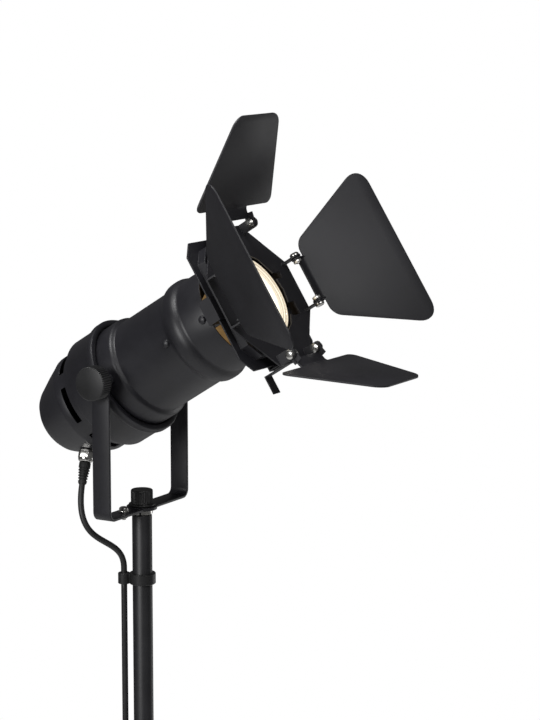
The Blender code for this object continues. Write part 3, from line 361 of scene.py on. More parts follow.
# makes the piece from its shape: smooth, gauged, its edges eased, riding on its body
def finished(name, shape, body, finish, nodes=(), bevel=0.0, thickness=0.0, offset=-1.0, angle=32):
    mesh = bpy.data.meshes.new(name)
    shape.to_mesh(mesh)
    shape.free()
    mesh.materials.append(finish)
    mesh.shade_smooth()
    mesh.set_sharp_from_angle(angle=math.radians(angle))
    piece = placed(name, mesh)
    if thickness:
        gauge = piece.modifiers.new("gauge", "SOLIDIFY")
        gauge.thickness = thickness
        gauge.offset = offset
        gauge.use_even_offset = True
    if bevel:
        ease = piece.modifiers.new("ease", "BEVEL")
        ease.width = bevel
        ease.segments = 2
        ease.limit_method = "ANGLE"
        ease.angle_limit = math.radians(angle)
        ease.harden_normals = False
    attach(piece, body)
    if nodes:
        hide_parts(*nodes)
    return piece


# points evenly spread along a smooth curve through the marks
def eased(points, count):
    marks = [Vector(point) for point in points]
    dense = []
    for index in range(len(marks) - 1):
        before, after = marks[max(index - 1, 0)], marks[min(index + 2, len(marks) - 1)]
        here, there = marks[index], marks[index + 1]
        for step in range(24):
            share = step / 24
            dense.append(0.5 * (2 * here + (there - before) * share
                                + (2 * before - 5 * here + 4 * there - after) * share ** 2
                                + (3 * here - before - 3 * there + after) * share ** 3))
    dense.append(marks[-1])
    reach = [0.0]
    for here, there in zip(dense, dense[1:]):
        reach.append(reach[-1] + (there - here).length)
    spread, index = [], 0
    for step in range(count):
        goal = reach[-1] * step / (count - 1)
        while index < len(dense) - 2 and reach[index + 1] < goal:
            index += 1
        share = (goal - reach[index]) / (reach[index + 1] - reach[index])
        spread.append(dense[index].lerp(dense[index + 1], min(max(share, 0), 1)))
    return spread


# cords

lead = {
    "radius": 2 * mm,
    "offset": 12 * mm,  # cord centre from the mast's axis
    "lowOffset": 17 * mm,
    "side": math.radians(121),
    "upperClip": panCentre.z - 47 * mm,
    "middleClip": panCentre.z - 150 * mm,
    "lowerClip": 800 * mm,
    "collarTop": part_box("height_collar")[1][2],
    "break": 0.15 * mm,
    "clipHalf": 4.5 * mm,
}
coilSpec = {"x": 70 * mm, "y": 97 * mm, "radius": 22 * mm, "pitch": 4 * mm, "layers": 4, "turns": 3,
            "outer": 28 * mm, "floor": 2.2 * mm, "rise": 3.9 * mm, "perTurn": 24}
headPull = {"out": 47 * mm, "back": 25 * mm}
fitting = {"bootRadius": 4.5 * mm, "bootLength": 12 * mm, "length": 62 * mm, "half": 14 * mm,
           "edge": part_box("switch_body")[1][0], "height": 5.7 * mm,
           "sweep": 17.5 * mm}


# the gland's own frame: outward along Z, origin on the rear cap's cone
def glandTurn():
    start, end, startRadius, endRadius = -46 * mm, -68 * mm, 34.4 * mm, 24.5 * mm
    share = (start + 57 * mm) / (start - end)
    radius = startRadius + (endRadius - startRadius) * share
    lean = math.atan2(startRadius - endRadius, start - end)
    around = Matrix.Rotation(math.radians(-115), 4, "Z")
    return headTurn @ around @ Matrix.Translation((radius, 0, -57 * mm)) @ Matrix.Rotation(math.pi / 2
                                                                                           + lean, 4, "Y")


def besidePole(offset, height):
    return Vector((offset * math.cos(lead["side"]), columnY + offset * math.sin(lead["side"]), height))


def cordPiece(name, route, body, nodes, across=None, shortens=None):
    # across names a body and shortens a slide with the share it leaves, but both are read only as switches: either
    # turns the curve into a mesh; with across the mesh is baked in place instead of being attached to body, and with
    # shortens it gets a mesh of its own
    curve = bpy.data.curves.new(name, "CURVE")
    curve.dimensions = "3D"
    curve.bevel_depth = lead["radius"]
    curve.bevel_resolution = 4
    curve.use_fill_caps = True
    line = curve.splines.new("POLY")
    line.points.add(len(route) - 1)
    for point, place in zip(line.points, route):
        point.co = (*place, 1)
    line.use_smooth = True
    piece = placed(name, curve)
    if across or shortens:
        drawn = piece.evaluated_get(bpy.context.evaluated_depsgraph_get())
        mesh = bpy.data.meshes.new_from_object(drawn)
        bpy.data.objects.remove(piece)
        tube = bmesh.new()
        tube.from_mesh(mesh)
        bounded(tube)
        tube.to_mesh(mesh)
        tube.free()
        mesh.shade_smooth()
        mesh.materials.clear()
        mesh.materials.append(sheath)
        piece = placed(name, mesh)
    else:
        curve.materials.append(sheath)
    if across:
        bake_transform(piece)
    else:
        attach(piece, body)
    if shortens:
        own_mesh(piece)
    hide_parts(*nodes)
    run = sum((there - here).length for here, there in zip(route, route[1:]))
    print("cord", name, round(run, 3))
    return piece


def swept(start, startPull, endPull, end, count):
    # one even bend between two ends, each pulled along its own direction
    curve = []
    for step in range(count):
        share = step / (count - 1)
        curve.append(start * (1 - share) ** 3 + (start + startPull) * (3 * share * (1 - share) ** 2)
                     + (end + endPull) * (3 * share ** 2 * (1 - share)) + end * share ** 3)
    return curve


def headRoute():
    gland = glandTurn()
    gripEnd = 22.6 * mm
    root, tip = gland @ Vector((0, 0, gripEnd - 12 * mm)), gland @ Vector((0, 0, gripEnd))
    way = (tip - root).normalized()
    clip = besidePole(lead["offset"], lead["upperClip"] + lead["break"])
    entry = clip + Vector((0, 0, lead["clipHalf"] + 2 * mm))
    bend = swept(tip, way * headPull["out"], Vector((0, 0, headPull["back"])), entry, 36)
    return eased([root, root.lerp(tip, 0.5)] + bend + [clip], 60)


def heightRoute():
    top = besidePole(lead["offset"], lead["middleClip"] - lead["break"])
    end = besidePole(lead["lowOffset"], lead["lowerClip"] + lead["break"])
    middle = 0.3 * top.z + 0.7 * lead["collarTop"] + 50 * mm
    marks = [top, besidePole(lead["offset"] + mm, middle),
             besidePole(lead["lowOffset"], lead["collarTop"] + 40 * mm),
             besidePole(lead["lowOffset"], lead["collarTop"]), end]
    return eased(marks, 40)


def floorRoute():
    floor, downY = 2.3 * mm, 19.5 * mm
    start = besidePole(lead["lowOffset"], lead["lowerClip"] - lead["break"])
    switchLow = fitting["edge"] - 2 * fitting["bootLength"] - fitting["length"]
    entry = Vector((switchLow + 6 * mm, coilSpec["y"] + coilSpec["radius"], fitting["height"]))
    marks = [(-5 * mm, downY - 2 * mm, 0.68), (0, downY, 0.55), (0, downY, 0.4), (0, downY, 0.25),
             (0, downY, 0.13),
             (0, downY + 0.4 * mm, 0.08), (-2.6 * mm, downY + 3 * mm, 0.042),
             (-10 * mm, downY + 9.6 * mm, 0.0165),
             (-21 * mm, downY + 19 * mm, 0.0052), (-37 * mm, 55 * mm, floor), (-54 * mm, 72 * mm, floor)]
    # a wide turn on the floor, up into the switch's boot
    sweep = fitting["sweep"]
    for turn, height in ((226, 2.3), (198, 2.3), (170, 2.3), (142, 2.6), (114, 3.6), (90, 4.8)):
        angle = math.radians(turn)
        marks.append((entry.x - 23 * mm + sweep * math.cos(angle), entry.y - sweep + sweep * math.sin(angle),
                      height * mm))
    marks += [entry - Vector((11 * mm, 0, 0.1 * mm)), entry]
    marks = [Vector(mark) + Vector((0, columnY, 0)) for mark in marks]
    upper = [start, besidePole(lead["lowOffset"], lead["lowerClip"] - 20 * mm),
             besidePole(lead["lowOffset"], lead["lowerClip"] - 50 * mm)]
    return eased(upper + marks, 150)


# in from the switch at a tangent, twelve turns in four layers, and out to the plug
def coilRoute():
    spec = coilSpec
    centre = Vector((spec["x"], spec["y"] + columnY, 0))
    bootX = fitting["edge"] - centre.x
    inward = [(bootX - 6 * mm, spec["radius"], fitting["height"]),
              (bootX, spec["radius"], fitting["height"]),
              (bootX + 6 * mm, spec["radius"] + 2.2 * mm, 5 * mm), (-9 * mm, 28.6 * mm, 3.4 * mm)]
    turns = []
    perLayer = spec["turns"] * spec["perTurn"]
    for step in range(spec["layers"] * perLayer + 1):
        layer, place = divmod(step, perLayer)
        share = place / perLayer
        inner = spec["outer"] - spec["turns"] * spec["pitch"]
        radius = spec["outer"] + (inner - spec["outer"]) * (share if layer % 2 == 0 else 1 - share)
        climb = min(place / (0.35 * spec["perTurn"]), 1) if layer else 1
        height = spec["floor"] + spec["rise"] * (layer - 1 + climb if layer else 0)
        angle = math.pi / 2 - math.tau * step / spec["perTurn"]
        if layer == spec["layers"]:
            radius, height = spec["outer"], spec["floor"] + spec["rise"] * (layer - 1)
        turns.append((radius * math.cos(angle), radius * math.sin(angle), height))
    top = turns[-1][2]
    for step in range(1, 11):
        share = step / 11
        angle = math.pi / 2 - math.pi * share
        radius = spec["outer"] + 4.6 * mm * math.sin(math.pi / 2 * min(share * 1.6, 1))
        turns.append((radius * math.cos(angle), radius * math.sin(angle), top
                      + (fitting["height"] - top) * share))
    outward = [(-12 * mm, -27 * mm, fitting["height"]), (bootX, -spec["radius"], fitting["height"]),
               (bootX - 6 * mm, -spec["radius"], fitting["height"])]
    marks = [Vector(mark) + centre for mark in inward + turns + outward]
    return eased(marks, 420)


headCord = cordPiece("headCord", headRoute(), "yoke", ["cord_head"], across="head")
mastCord = cordPiece("mastCord", eased([besidePole(lead["offset"], lead["upperClip"] - lead["break"]),
                                        besidePole(lead["offset"], lead["middleClip"] + lead["break"])], 16),
                     "mast", ["cord_mast"], across="yoke")
travel = -joints["mast_height"]["range_m"][0] if "range_m" in joints["mast_height"] else 240 * mm
heightRun = heightRoute()
heightLeft = 1 - travel / (heightRun[0].z - heightRun[-1].z)
heightCord = cordPiece("heightCord", heightRun, "stand", ["cord_height"],
                       shortens=("mast_height", heightLeft))
floorCord = cordPiece("floorCord", floorRoute(), "stand", ["cord_floor"])


# the wound cord with its tie, and the plug lying beside it
def makeCoil():
    bandRadius, bandHalf = 9.4 * mm, 5 * mm
    band = spun([(bandRadius, -bandHalf), (bandRadius + 0.5 * mm, -bandHalf - 0.4 * mm),
                 (bandRadius + mm, -bandHalf), (bandRadius + mm, bandHalf),
                 (bandRadius + 0.5 * mm, bandHalf + 0.4 * mm),
                 (bandRadius, bandHalf)], 40, True)
    squash = Matrix.Diagonal((0.95, 0.76, 1, 1))
    middle = Vector((coilSpec["x"] + coilSpec["radius"], coilSpec["y"] + columnY,
                     8.4 * mm))  # middle of the wound section
    turned(band, Matrix.Translation(middle) @ Matrix.Rotation(math.pi / 2, 4, "X") @ squash)
    tie = finished("coilTie", band, "stand", rubber)
    plug = makePlug()
    cordPiece("coiledCord", coilRoute(), "stand", ["cord_coil"])


plugSpec = {"half": 24 * mm, "length": 48 * mm, "height": 20 * mm, "pinLength": 22 * mm, "sidePin": 18 * mm}


def makePlug():
    spec = plugSpec
    high = fitting["edge"] - fitting["bootLength"]
    low = high - spec["length"]
    centreY = coilSpec["y"] - coilSpec["radius"] + columnY
    body = bmesh.new()
    corners = [(low, -0.7 * spec["half"]), (high, -spec["half"] + 2 * mm), (high, spec["half"] - 2 * mm),
               (low, 0.7 * spec["half"])]
    base = body.faces.new([body.verts.new((x, y + centreY, 0.4 * mm)) for x, y in corners])
    raised(body, [base], spec["height"] - 0.4 * mm)
    bmesh.ops.recalc_face_normals(body, faces=body.faces)
    upright = [edge for edge in body.edges if abs(edge.verts[0].co.z - edge.verts[1].co.z) > mm]
    rounded(body, upright, 6 * mm, 6)
    rims = [edge for edge in body.edges if abs(edge.verts[0].co.z - edge.verts[1].co.z) < 1e-6
            and len(edge.link_faces) == 2 and edge.calc_face_angle(0) > 1]
    rounded(body, rims, 1.6 * mm, 3)
    grips = [slab((low + (6 + 3.4 * rib) * mm, side * 0.82 * spec["half"] + centreY - 1.2 * mm, 4 * mm),
                  (low + (7.6 + 3.4 * rib) * mm, side * 0.82 * spec["half"] + centreY + 1.2 * mm, 16 * mm),
                  0.5 * mm)
             for rib in range(5) for side in (-1, 1)]
    boot = ribbedBoot(fitting["bootLength"] + 3 * mm)
    turned(boot, Matrix.Translation((high - 3 * mm, centreY,
                                     fitting["height"])) @ Matrix.Rotation(math.pi / 2, 4, "Y"))
    plugBody = finished("plugBody", added(body, boot, *grips), "stand", plastic, ["plug"])
    middle = (low + high) / 2
    pins = []
    for x, y, halfX, halfY, length in ((-9 * mm, 0, 4 * mm, 2 * mm, spec["pinLength"]),
                                       (13 * mm, 11 * mm, 2 * mm, 3.2 * mm, spec["sidePin"]),
                                       (13 * mm, -11 * mm, 2 * mm, 3.2 * mm, spec["sidePin"])):
        pins.append(slab((middle + x - halfX, centreY + y - halfY, spec["height"] - 0.6 * mm),
                         (middle + x + halfX, centreY + y + halfY, spec["height"] + length), 0.6 * mm))
    finished("plugPins", added(*pins), "stand", steel)
    return plugBody


# a cord boot along Z from its wide end, with cut-in ribs
def ribbedBoot(length):
    wide, narrow = fitting["bootRadius"], lead["radius"] + 0.5 * mm
    profile = [(narrow - 0.4 * mm, 0), (wide, 0), (wide, 3 * mm)]
    ribs = 3
    pitch = (length - 4.4 * mm) / ribs
    for rib in range(ribs):
        start = 3 * mm + rib * pitch
        radius = wide - (wide - narrow - 0.5 * mm) * (rib + 1) / ribs
        profile += [(radius + 0.3 * mm, start + 0.1 * pitch), (radius - 0.7 * mm, start + 0.3 * pitch),
                    (radius - 0.7 * mm, start + 0.6 * pitch), (radius + 0.1 * mm, start + 0.8 * pitch)]
    profile += [(narrow, length - 0.5 * mm), (narrow - 0.4 * mm, length)]
    return spun(profile, 28, True)


def makeSwitch():
    low = fitting["edge"] - fitting["bootLength"] - fitting["length"]
    high = low + fitting["length"]
    centreY = coilSpec["y"] + coilSpec["radius"] + columnY
    topZ = 18 * mm
    body = fromFrame("switch_body")
    seam = slab((low + 0.6 * mm, centreY - fitting["half"] - 0.25 * mm, 8 * mm),
                (high - 0.6 * mm, centreY + fitting["half"] + 0.25 * mm, 8.8 * mm), 0.2 * mm)
    boots = []
    for place, way in ((high - 2 * mm, 1), (low + 2 * mm, -1)):
        boot = ribbedBoot(fitting["bootLength"] + 2 * mm)
        turned(boot, Matrix.Translation((place, centreY,
                                         fitting["height"])) @ Matrix.Rotation(way * math.pi / 2, 4, "Y"))
        boots.append(boot)
    middle = (low + high) / 2
    ring = spun([(7.4 * mm, topZ - 2 * mm), (8.8 * mm, topZ - 2 * mm), (8.8 * mm, topZ + 0.5 * mm),
                 (8.3 * mm, topZ + 0.9 * mm), (7.7 * mm, topZ + 0.9 * mm), (7.4 * mm, topZ + 0.4 * mm)], 48,
                True)
    turned(ring, Matrix.Translation((middle, centreY, 0)))
    finished("switchBody", added(body, seam, ring, *boots), "stand", plastic,
             ["switch_body"],
             bevel=0.5 * mm)
    button = spun([(0, 14.2 * mm), (6.8 * mm, 14.2 * mm), (7 * mm, 14.5 * mm), (7 * mm, 19.6 * mm),
                   (6.6 * mm, 20.2 * mm), (5.8 * mm, 20.4 * mm), (4 * mm, 20.1 * mm), (0, 19.8 * mm)], 48)
    turned(button, Matrix.Translation((middle, centreY, 0)))
    finished("switchButton", button, "switch_button", plastic, ["switch_button"])


makeCoil()
makeSwitch()
print("cords, switch and plug made")


# head shell

shell = {
    "gauge": 0.8 * mm,
    "slots": 6,
    "slotHalf": math.radians(21),
    "slotLow": -40.1 * mm,
    "slotHigh": -35.9 * mm,
}


def makeBarrel():
    outer = [(34.1, -14), (34.9, -12.6), (35.2, -11), (35.2, 6.4), (34.95, 7.4), (34.2, 8.3), (33.1, 8.9),
             (32.6, 9.6),
             (32.6, 50.4), (32.8, 51.2), (33.5, 52.4), (34.5, 53.8), (35.0, 55.2), (35.2, 57), (35.2, 59.6),
             (35.0, 61.2), (34.4, 62.8), (33.5, 64.2), (32.95, 65.2), (32.9, 66), (32.9, 84), (32.7, 84.5)]
    inner = [(radius - 0.8, height) for radius, height in reversed(outer)]
    profile = scaled(outer + inner)
    finished("barrelShell", turned(spun(profile, 112, True), headTurn), "head", paint,
             ["barrel"])


def makeRearCap():
    spec = shell
    outline = [(35.7, -5.2), (36.1, -4.5), (37, -4.1), (38.6, -4.05), (39.5, -4.4), (40, -5.3), (40, -8.2),
               (39.7, -9.3), (39.0, -10), (38.5, -10.8), (38.5, -28.6), (38.2, -29.6), (37.2, -30.3),
               (35.6, -30.6),
               (34.7, -31.1), (34.4, -32)]
    profile = scaled(outline)
    profile += [(34.4 * mm, spec["slotHigh"]), (34.4 * mm, spec["slotLow"])]
    rear = [(34.4, -44.6), (34.2, -45.6), (33.6, -46.8), (29.8, -56.2), (24.9, -67.2), (24.1, -69),
            (22.4, -71.6),
            (19.6, -74.2), (16.4, -75.6), (12, -76), (0, -76)]
    profile += scaled(rear)
    shape = spun(profile, 120)
    cut = []
    for face in shape.faces:
        centre = face.calc_center_median()
        angle = (math.atan2(centre.y, centre.x) - math.pi) % (math.tau / spec["slots"])
        near = min(angle, math.tau / spec["slots"] - angle)
        if near < spec["slotHalf"] and spec["slotLow"] < centre.z < spec["slotHigh"]:
            cut.append(face)
    bmesh.ops.delete(shape, geom=cut, context="FACES")
    turned(shape, headTurn)
    finished("rearCapShell", shape, "head", paint, ["rear_cap"],
             thickness=spec["gauge"],
             bevel=0.15 * mm)


# domed rivet heads on the barrel's sides, over the CAD ones
def makeRivets():
    heads = []
    for angle, station, seat in ((0, 48, 32.7), (180, 48, 32.7), (0, 80, 33), (180, 80, 33), (270, 80, 33)):
        dome = spun([(0, 1.75 * mm), (0.9 * mm, 1.65 * mm), (1.8 * mm, 1.2 * mm), (2.5 * mm, 0.5 * mm),
                     (2.8 * mm, 0),
                     (2.8 * mm, -0.4 * mm), (0, -0.4 * mm)], 32)
        place = Matrix.Translation((0, 0, station * mm)) @ Matrix.Rotation(math.radians(angle), 4, "Z")
        place = place @ Matrix.Translation((seat * mm, 0, 0)) @ Matrix.Rotation(math.pi / 2, 4, "Y")
        heads.append(turned(dome, headTurn @ place))
    finished("rivetHeads", added(*heads), "head", paint)


def makeGland():
    spec = {"bore": 2.2 * mm, "across": 5.4 * mm, "low": 0.3 * mm}
    nut = bmesh.new()
    bmesh.ops.create_circle(nut, cap_ends=True, segments=6, radius=spec["across"])
    raised(nut, nut.faces[:], 5.2 * mm)
    turned(nut, Matrix.Translation((0, 0, spec["low"])))
    bmesh.ops.recalc_face_normals(nut, faces=nut.faces)
    rounded(nut, nut.edges[:], 0.35 * mm, 2)
    dome = spun([(spec["bore"], 5 * mm), (4.9 * mm, 5 * mm), (4.9 * mm, 6 * mm), (4.6 * mm, 7.2 * mm),
                 (3.9 * mm, 8 * mm), (3 * mm, 8.3 * mm), (spec["bore"], 8.3 * mm)], 48, True)
    thread = [(spec["bore"], -4 * mm), (spec["bore"], mm), (3.7 * mm, mm)]
    turns = 6
    for turn in range(turns):
        height = mm - 5 * mm * turn / turns
        thread += [(4 * mm, height - 0.2 * mm), (3.6 * mm, height - 0.6 * mm)]
    thread.append((3.6 * mm, -4 * mm))
    body = added(nut, dome, spun(thread, 40, True))
    finished("glandNut", turned(body, glandTurn()), "head", steel, ["cable_gland"])
    profile = [(spec["bore"], 8.6 * mm), (3.7 * mm, 8.6 * mm), (3.8 * mm, 9 * mm), (3.8 * mm, 12 * mm)]
    for rib in range(5):
        height = 12.4 * mm + rib * 1.8 * mm
        radius = 3.7 * mm - rib * 0.2 * mm
        profile += [(radius - 0.5 * mm, height), (radius - 0.5 * mm, height + 0.6 * mm),
                    (radius, height + 0.9 * mm),
                    (radius, height + 1.5 * mm)]
    profile += [(2.7 * mm, 22.2 * mm), (2.5 * mm, 22.6 * mm), (spec["bore"], 22.6 * mm)]
    finished("glandGrip", turned(spun(profile, 40, True), glandTurn()), "head", rubber,
             ["gland_grip"])


def makeLamp():
    cup = spun(scaled([(0, 49.5), (10.2, 49.5), (10.5, 50), (10.8, 60), (12.5, 64), (16.8, 69), (20.4, 77),
                       (22.6, 86),
                       (23.4, 94), (24.6, 97.4), (24.9, 98.4), (24.4, 99.2), (0, 99.2)]), 96)
    finished("lampCup", turned(cup, headTurn), "head", cupGlass, ["lamp"], angle=60)
    # the front glass stands in the frame's opening, stepped in rings
    front, rimRadius = 103.2, 28.6
    outline = [(0, 99.4), (25, 99.4), (26, 99.7), (rimRadius - 0.4, 100.4), (rimRadius, 101),
               (rimRadius, 102.8),
               (rimRadius - 0.4, front), (27.2, front), (26.9, front - 0.5), (25.9, front - 0.6)]
    for ring in range(8):
        radius = 25.6 - ring * 2.9
        outline += [(radius, front - 0.15), (radius - 0.8, front - 0.7), (radius - 2.1, front - 0.65)]
    outline.append((0, front - 0.5))
    profile = [(max(radius, 0), height) for radius, height in outline]
    finished("frontGlass", turned(spun(scaled(profile), 112), headTurn), "head", lens, angle=50)


makeBarrel()
makeRearCap()
makeRivets()
makeGland()
makeLamp()
print("head shell made")


# barn doors

leaves = {
    "right": {"turn": 0, "open": 57, "depth": 68.2, "inner": 26.1, "outer": 59.4},
    "top": {"turn": 90, "open": 40.5, "depth": 61.3, "inner": 44.6, "outer": 24.8},
    "left": {"turn": 180, "open": 40, "depth": 68.2, "inner": 26.1, "outer": 59.4},
    "bottom": {"turn": 270, "open": 37.5, "depth": 61.3, "inner": 44.6, "outer": 24.8},
}
sheetLeaf = {"hingeRadius": 44.5 * mm, "hingeStation": 115 * mm, "gauge": mm, "flap": 11 * mm,
             "flapHalf": 15.4 * mm,
             "bend": math.radians(38), "corner": 10 * mm, "start": 4.4 * mm, "bendSteps": 4,
             "bendRun": 3 * mm}


# a leaf's hinge line, in its own frame
def hingePlace(spec):
    around = Matrix.Rotation(math.radians(spec["turn"]), 4, "Z")
    return headTurn @ around @ Matrix.Translation((sheetLeaf["hingeRadius"], 0, sheetLeaf["hingeStation"]))


# one sheet: the wide leaf, a bend, the hinge flap and its two lugs
def makeLeaf(name, spec):
    sheet = sheetLeaf
    depth, inner, outer = spec["depth"] * mm, spec["inner"] * mm, spec["outer"] * mm
    opening = math.radians(spec["open"])
    shape = bmesh.new()
    corners = [(0, -inner), (depth, -outer), (depth, outer), (0, inner), (0, sheet["flapHalf"]),
               (0, -sheet["flapHalf"])]
    verts = [shape.verts.new((x, y, 0)) for x, y in corners]
    shape.faces.new(verts)
    slope = math.atan2(depth, outer - inner)  # angle inside the leaf's outer corners
    bmesh.ops.bevel(shape, geom=verts[1:3], offset=sheet["corner"] / math.tan(slope / 2), segments=10,
                    profile=0.5,
                    affect="VERTICES", material=-1)
    shape.verts.ensure_lookup_table()
    ends = [vert for vert in shape.verts if abs(vert.co.x) < 1e-6 and abs(abs(vert.co.y) - inner) < 1e-6]
    bmesh.ops.bevel(shape, geom=ends, offset=0.6 * sheet["corner"], segments=6, profile=0.5,
                    affect="VERTICES",
                    material=-1)
    edge = next(edge for edge in shape.edges
                if all(abs(vert.co.x) < 1e-6 and abs(abs(vert.co.y) - sheet["flapHalf"]) < 1e-6
                       for vert in edge.verts))
    heading = 0.0
    steps = sheet["bendSteps"]
    for step in range(steps + 1):
        heading += sheet["bend"] / steps if step < steps else 0
        run = sheet["bendRun"] / steps if step < steps else sheet["flap"] - sheet["start"] - sheet["bendRun"] / 2
        angle = heading - (sheet["bend"] / steps / 2 if step < steps else 0)
        edge = drawnOut(shape, edge, (-run * math.cos(angle), 0, run * math.sin(angle)))
    flapTurn = Matrix.Rotation(opening + sheet["bend"] - math.pi / 2, 4, "Y")
    bendPlace = flapTurn @ Vector((sheet["flap"], 0, 0))
    turned(shape, Matrix.Translation(bendPlace) @ Matrix.Rotation(opening - math.pi / 2, 4, "Y"))
    hinge = hingePlace(spec)
    turned(shape, hinge)
    body = f"leaf_{name}"
    finished(f"doorLeaf-{name}", shape, body, doorPaint, [body],
             thickness=sheet["gauge"],
             offset=0, bevel=0.28 * mm)
    lugs = []
    for side in (-1, 1):
        near, far = sorted((side * sheet["flapHalf"], side * (sheet["flapHalf"] - sheet["gauge"])))
        lug = slab((-3.2 * mm, near, -3.2 * mm), (sheet["start"] + 2 * mm, far, 3.2 * mm))
        ends = [edge for edge in lug.edges if edge.calc_length() < 2 * sheet["gauge"]
                and max(vert.co.x for vert in edge.verts) < 0]
        rounded(lug, ends, 2.9 * mm, 6)
        lugs.append(turned(lug, hinge @ flapTurn))
    finished(f"doorLugs-{name}", added(*lugs), body, doorPaint, bevel=0.15 * mm)


for leafName, leafSpec in leaves.items():
    makeLeaf(leafName, leafSpec)
print("barn doors made")


# hinge bolts, yoke, clamps and pan pivot

def hexNut(radius, low, high, ease=0.3 * mm):
    nut = bmesh.new()
    bmesh.ops.create_circle(nut, cap_ends=True, segments=6, radius=radius)
    raised(nut, nut.faces[:], high - low)
    bounded(turned(nut, Matrix.Translation((0, 0, low))))
    rounded(nut, nut.edges[:], ease)
    return nut


def knurled(shape, ridges, depth, least, lowest=-1.0):
    # presses straight grooves into the rim
    for vert in shape.verts:
        radius = math.hypot(vert.co.x, vert.co.y)
        if radius > least and vert.co.z > lowest:
            share = 1 - depth * (1 - math.cos(ridges * math.atan2(vert.co.y, vert.co.x))) / 2 / radius
            vert.co.x *= share
            vert.co.y *= share
    return shape


def makeHingeBolts():
    for name, spec in leaves.items():
        hinge = hingePlace(spec)
        for end, side in (("a", -1), ("b", 1)):
            screw = spun(scaled([(0, 11.7), (1.2, 11.7), (1.5, 12), (1.5, 17.15), (3.1, 17.15), (3.1, 17.8),
                                 (2.85, 18.5), (2.2, 19), (1.2, 19.15), (0, 19.2)]), 32)
            bolt = added(screw, hexNut(3.1 * mm, 12.25 * mm, 14.25 * mm))
            turned(bolt, hinge @ Matrix.Rotation(-side * math.pi / 2, 4, "X"))
            finished(f"hingeBolt-{name}-{end}", bolt, "head", steel,
                     [f"hinge_bolt_{name}_{end}"])


yokeSpec = {"half": 45.1 * mm, "rise": 98.4 * mm, "width": 13 * mm, "gauge": 1.8 * mm, "bend": 5 * mm,
            "bendSteps": 8, "corner": 5.9 * mm, "earthX": -21 * mm}


def makeYoke():
    spec = yokeSpec
    bend = [math.pi / 2 * step / spec["bendSteps"] for step in range(spec["bendSteps"] + 1)]
    right = [(spec["half"], spec["rise"])]
    right += [(spec["half"] - spec["bend"] * (1 - math.cos(turn)), spec["bend"] * (1 - math.sin(turn)))
              for turn in bend]
    path = right + [(-x, z) for x, z in reversed(right)]
    shape = bmesh.new()
    start = [shape.verts.new((path[0][0], side * spec["width"] / 2, path[0][1])) for side in (-1, 1)]
    edge = shape.edges.new(start)
    for here, there in zip(path, path[1:]):
        edge = drawnOut(shape, edge, (there[0] - here[0], 0, there[1] - here[1]))
    ends = [vert for vert in shape.verts if vert.co.z > spec["rise"] - mm]
    bmesh.ops.bevel(shape, geom=ends, offset=spec["corner"], segments=8, profile=0.5, affect="VERTICES",
                    material=-1)
    bounded(turned(shape, yokeTurn))
    finished("yokeStrap", shape, "yoke", paint, ["yoke"], thickness=spec["gauge"],
             offset=0,
             bevel=0.35 * mm)
    boss = spun(scaled([(4.15, -0.9), (9.8, -0.9), (10, 1), (9.7, 1.3), (4.15, 1.3)]), 64, True)
    finished("yokeBoss", turned(boss, yokeTurn), "yoke", paint, bevel=0.1 * mm)
    screw = spun(scaled([(0, -4.05), (1.2, -4.05), (1.5, -3.7), (1.5, 1.05), (3.6, 1.05), (3.6, 1.8),
                         (3.45, 1.95),
                         (3, 2), (3, 3.2), (2.75, 3.9), (2, 4.4), (1, 4.62), (0, 4.65)]), 40)
    added(screw, hexNut(2.8 * mm, -2.9 * mm, -1.05 * mm))
    turned(screw, yokeTurn @ Matrix.Translation((spec["earthX"], 0, 0)))
    finished("earthScrew", screw, "yoke", steel, ["earth_screw"])


knobSpec = {"base": 46.15, "ridges": 48, "steps": 192, "groove": 0.4 * mm}


def makeTiltKnobs():
    base = knobSpec["base"]
    for name, angle in (("left", 180), ("right", 0)):
        place = headTurn @ Matrix.Rotation(math.radians(angle), 4, "Z") @ Matrix.Rotation(math.pi / 2, 4,
                                                                                          "Y")
        rise = [(7, 0), (7, 1.2), (7.3, 1.5), (10.3, 2.2), (11, 2.9), (11, 10.4), (10.8, 11), (10.3, 11.4),
                (9.8, 11.5), (0, 11.5)]
        profile = [(0, base + 8.2), (2.15, base + 8.2), (2.15, base)]
        profile += [(radius, base + height) for radius, height in rise]
        knob = knurled(spun(scaled(profile), knobSpec["steps"]), knobSpec["ridges"], knobSpec["groove"],
                       10.1 * mm)
        body = f"tilt_knob_{name}"
        finished(f"tiltKnob-{name}", turned(knob, place), body, plastic, [body], angle=40)
        stud = spun(scaled([(0, 30.6), (1.7, 30.6), (2, 31), (2, 53.8), (1.6, 54.2), (0, 54.2)]), 32)
        added(stud, hexNut(3.6 * mm, 31.66 * mm, 34.06 * mm), hexNut(3.6 * mm, 35.35 * mm, 37.75 * mm))
        finished(f"tiltStud-{name}", turned(stud, place), "head", paint,
                 [f"tilt_stud_{name}"])


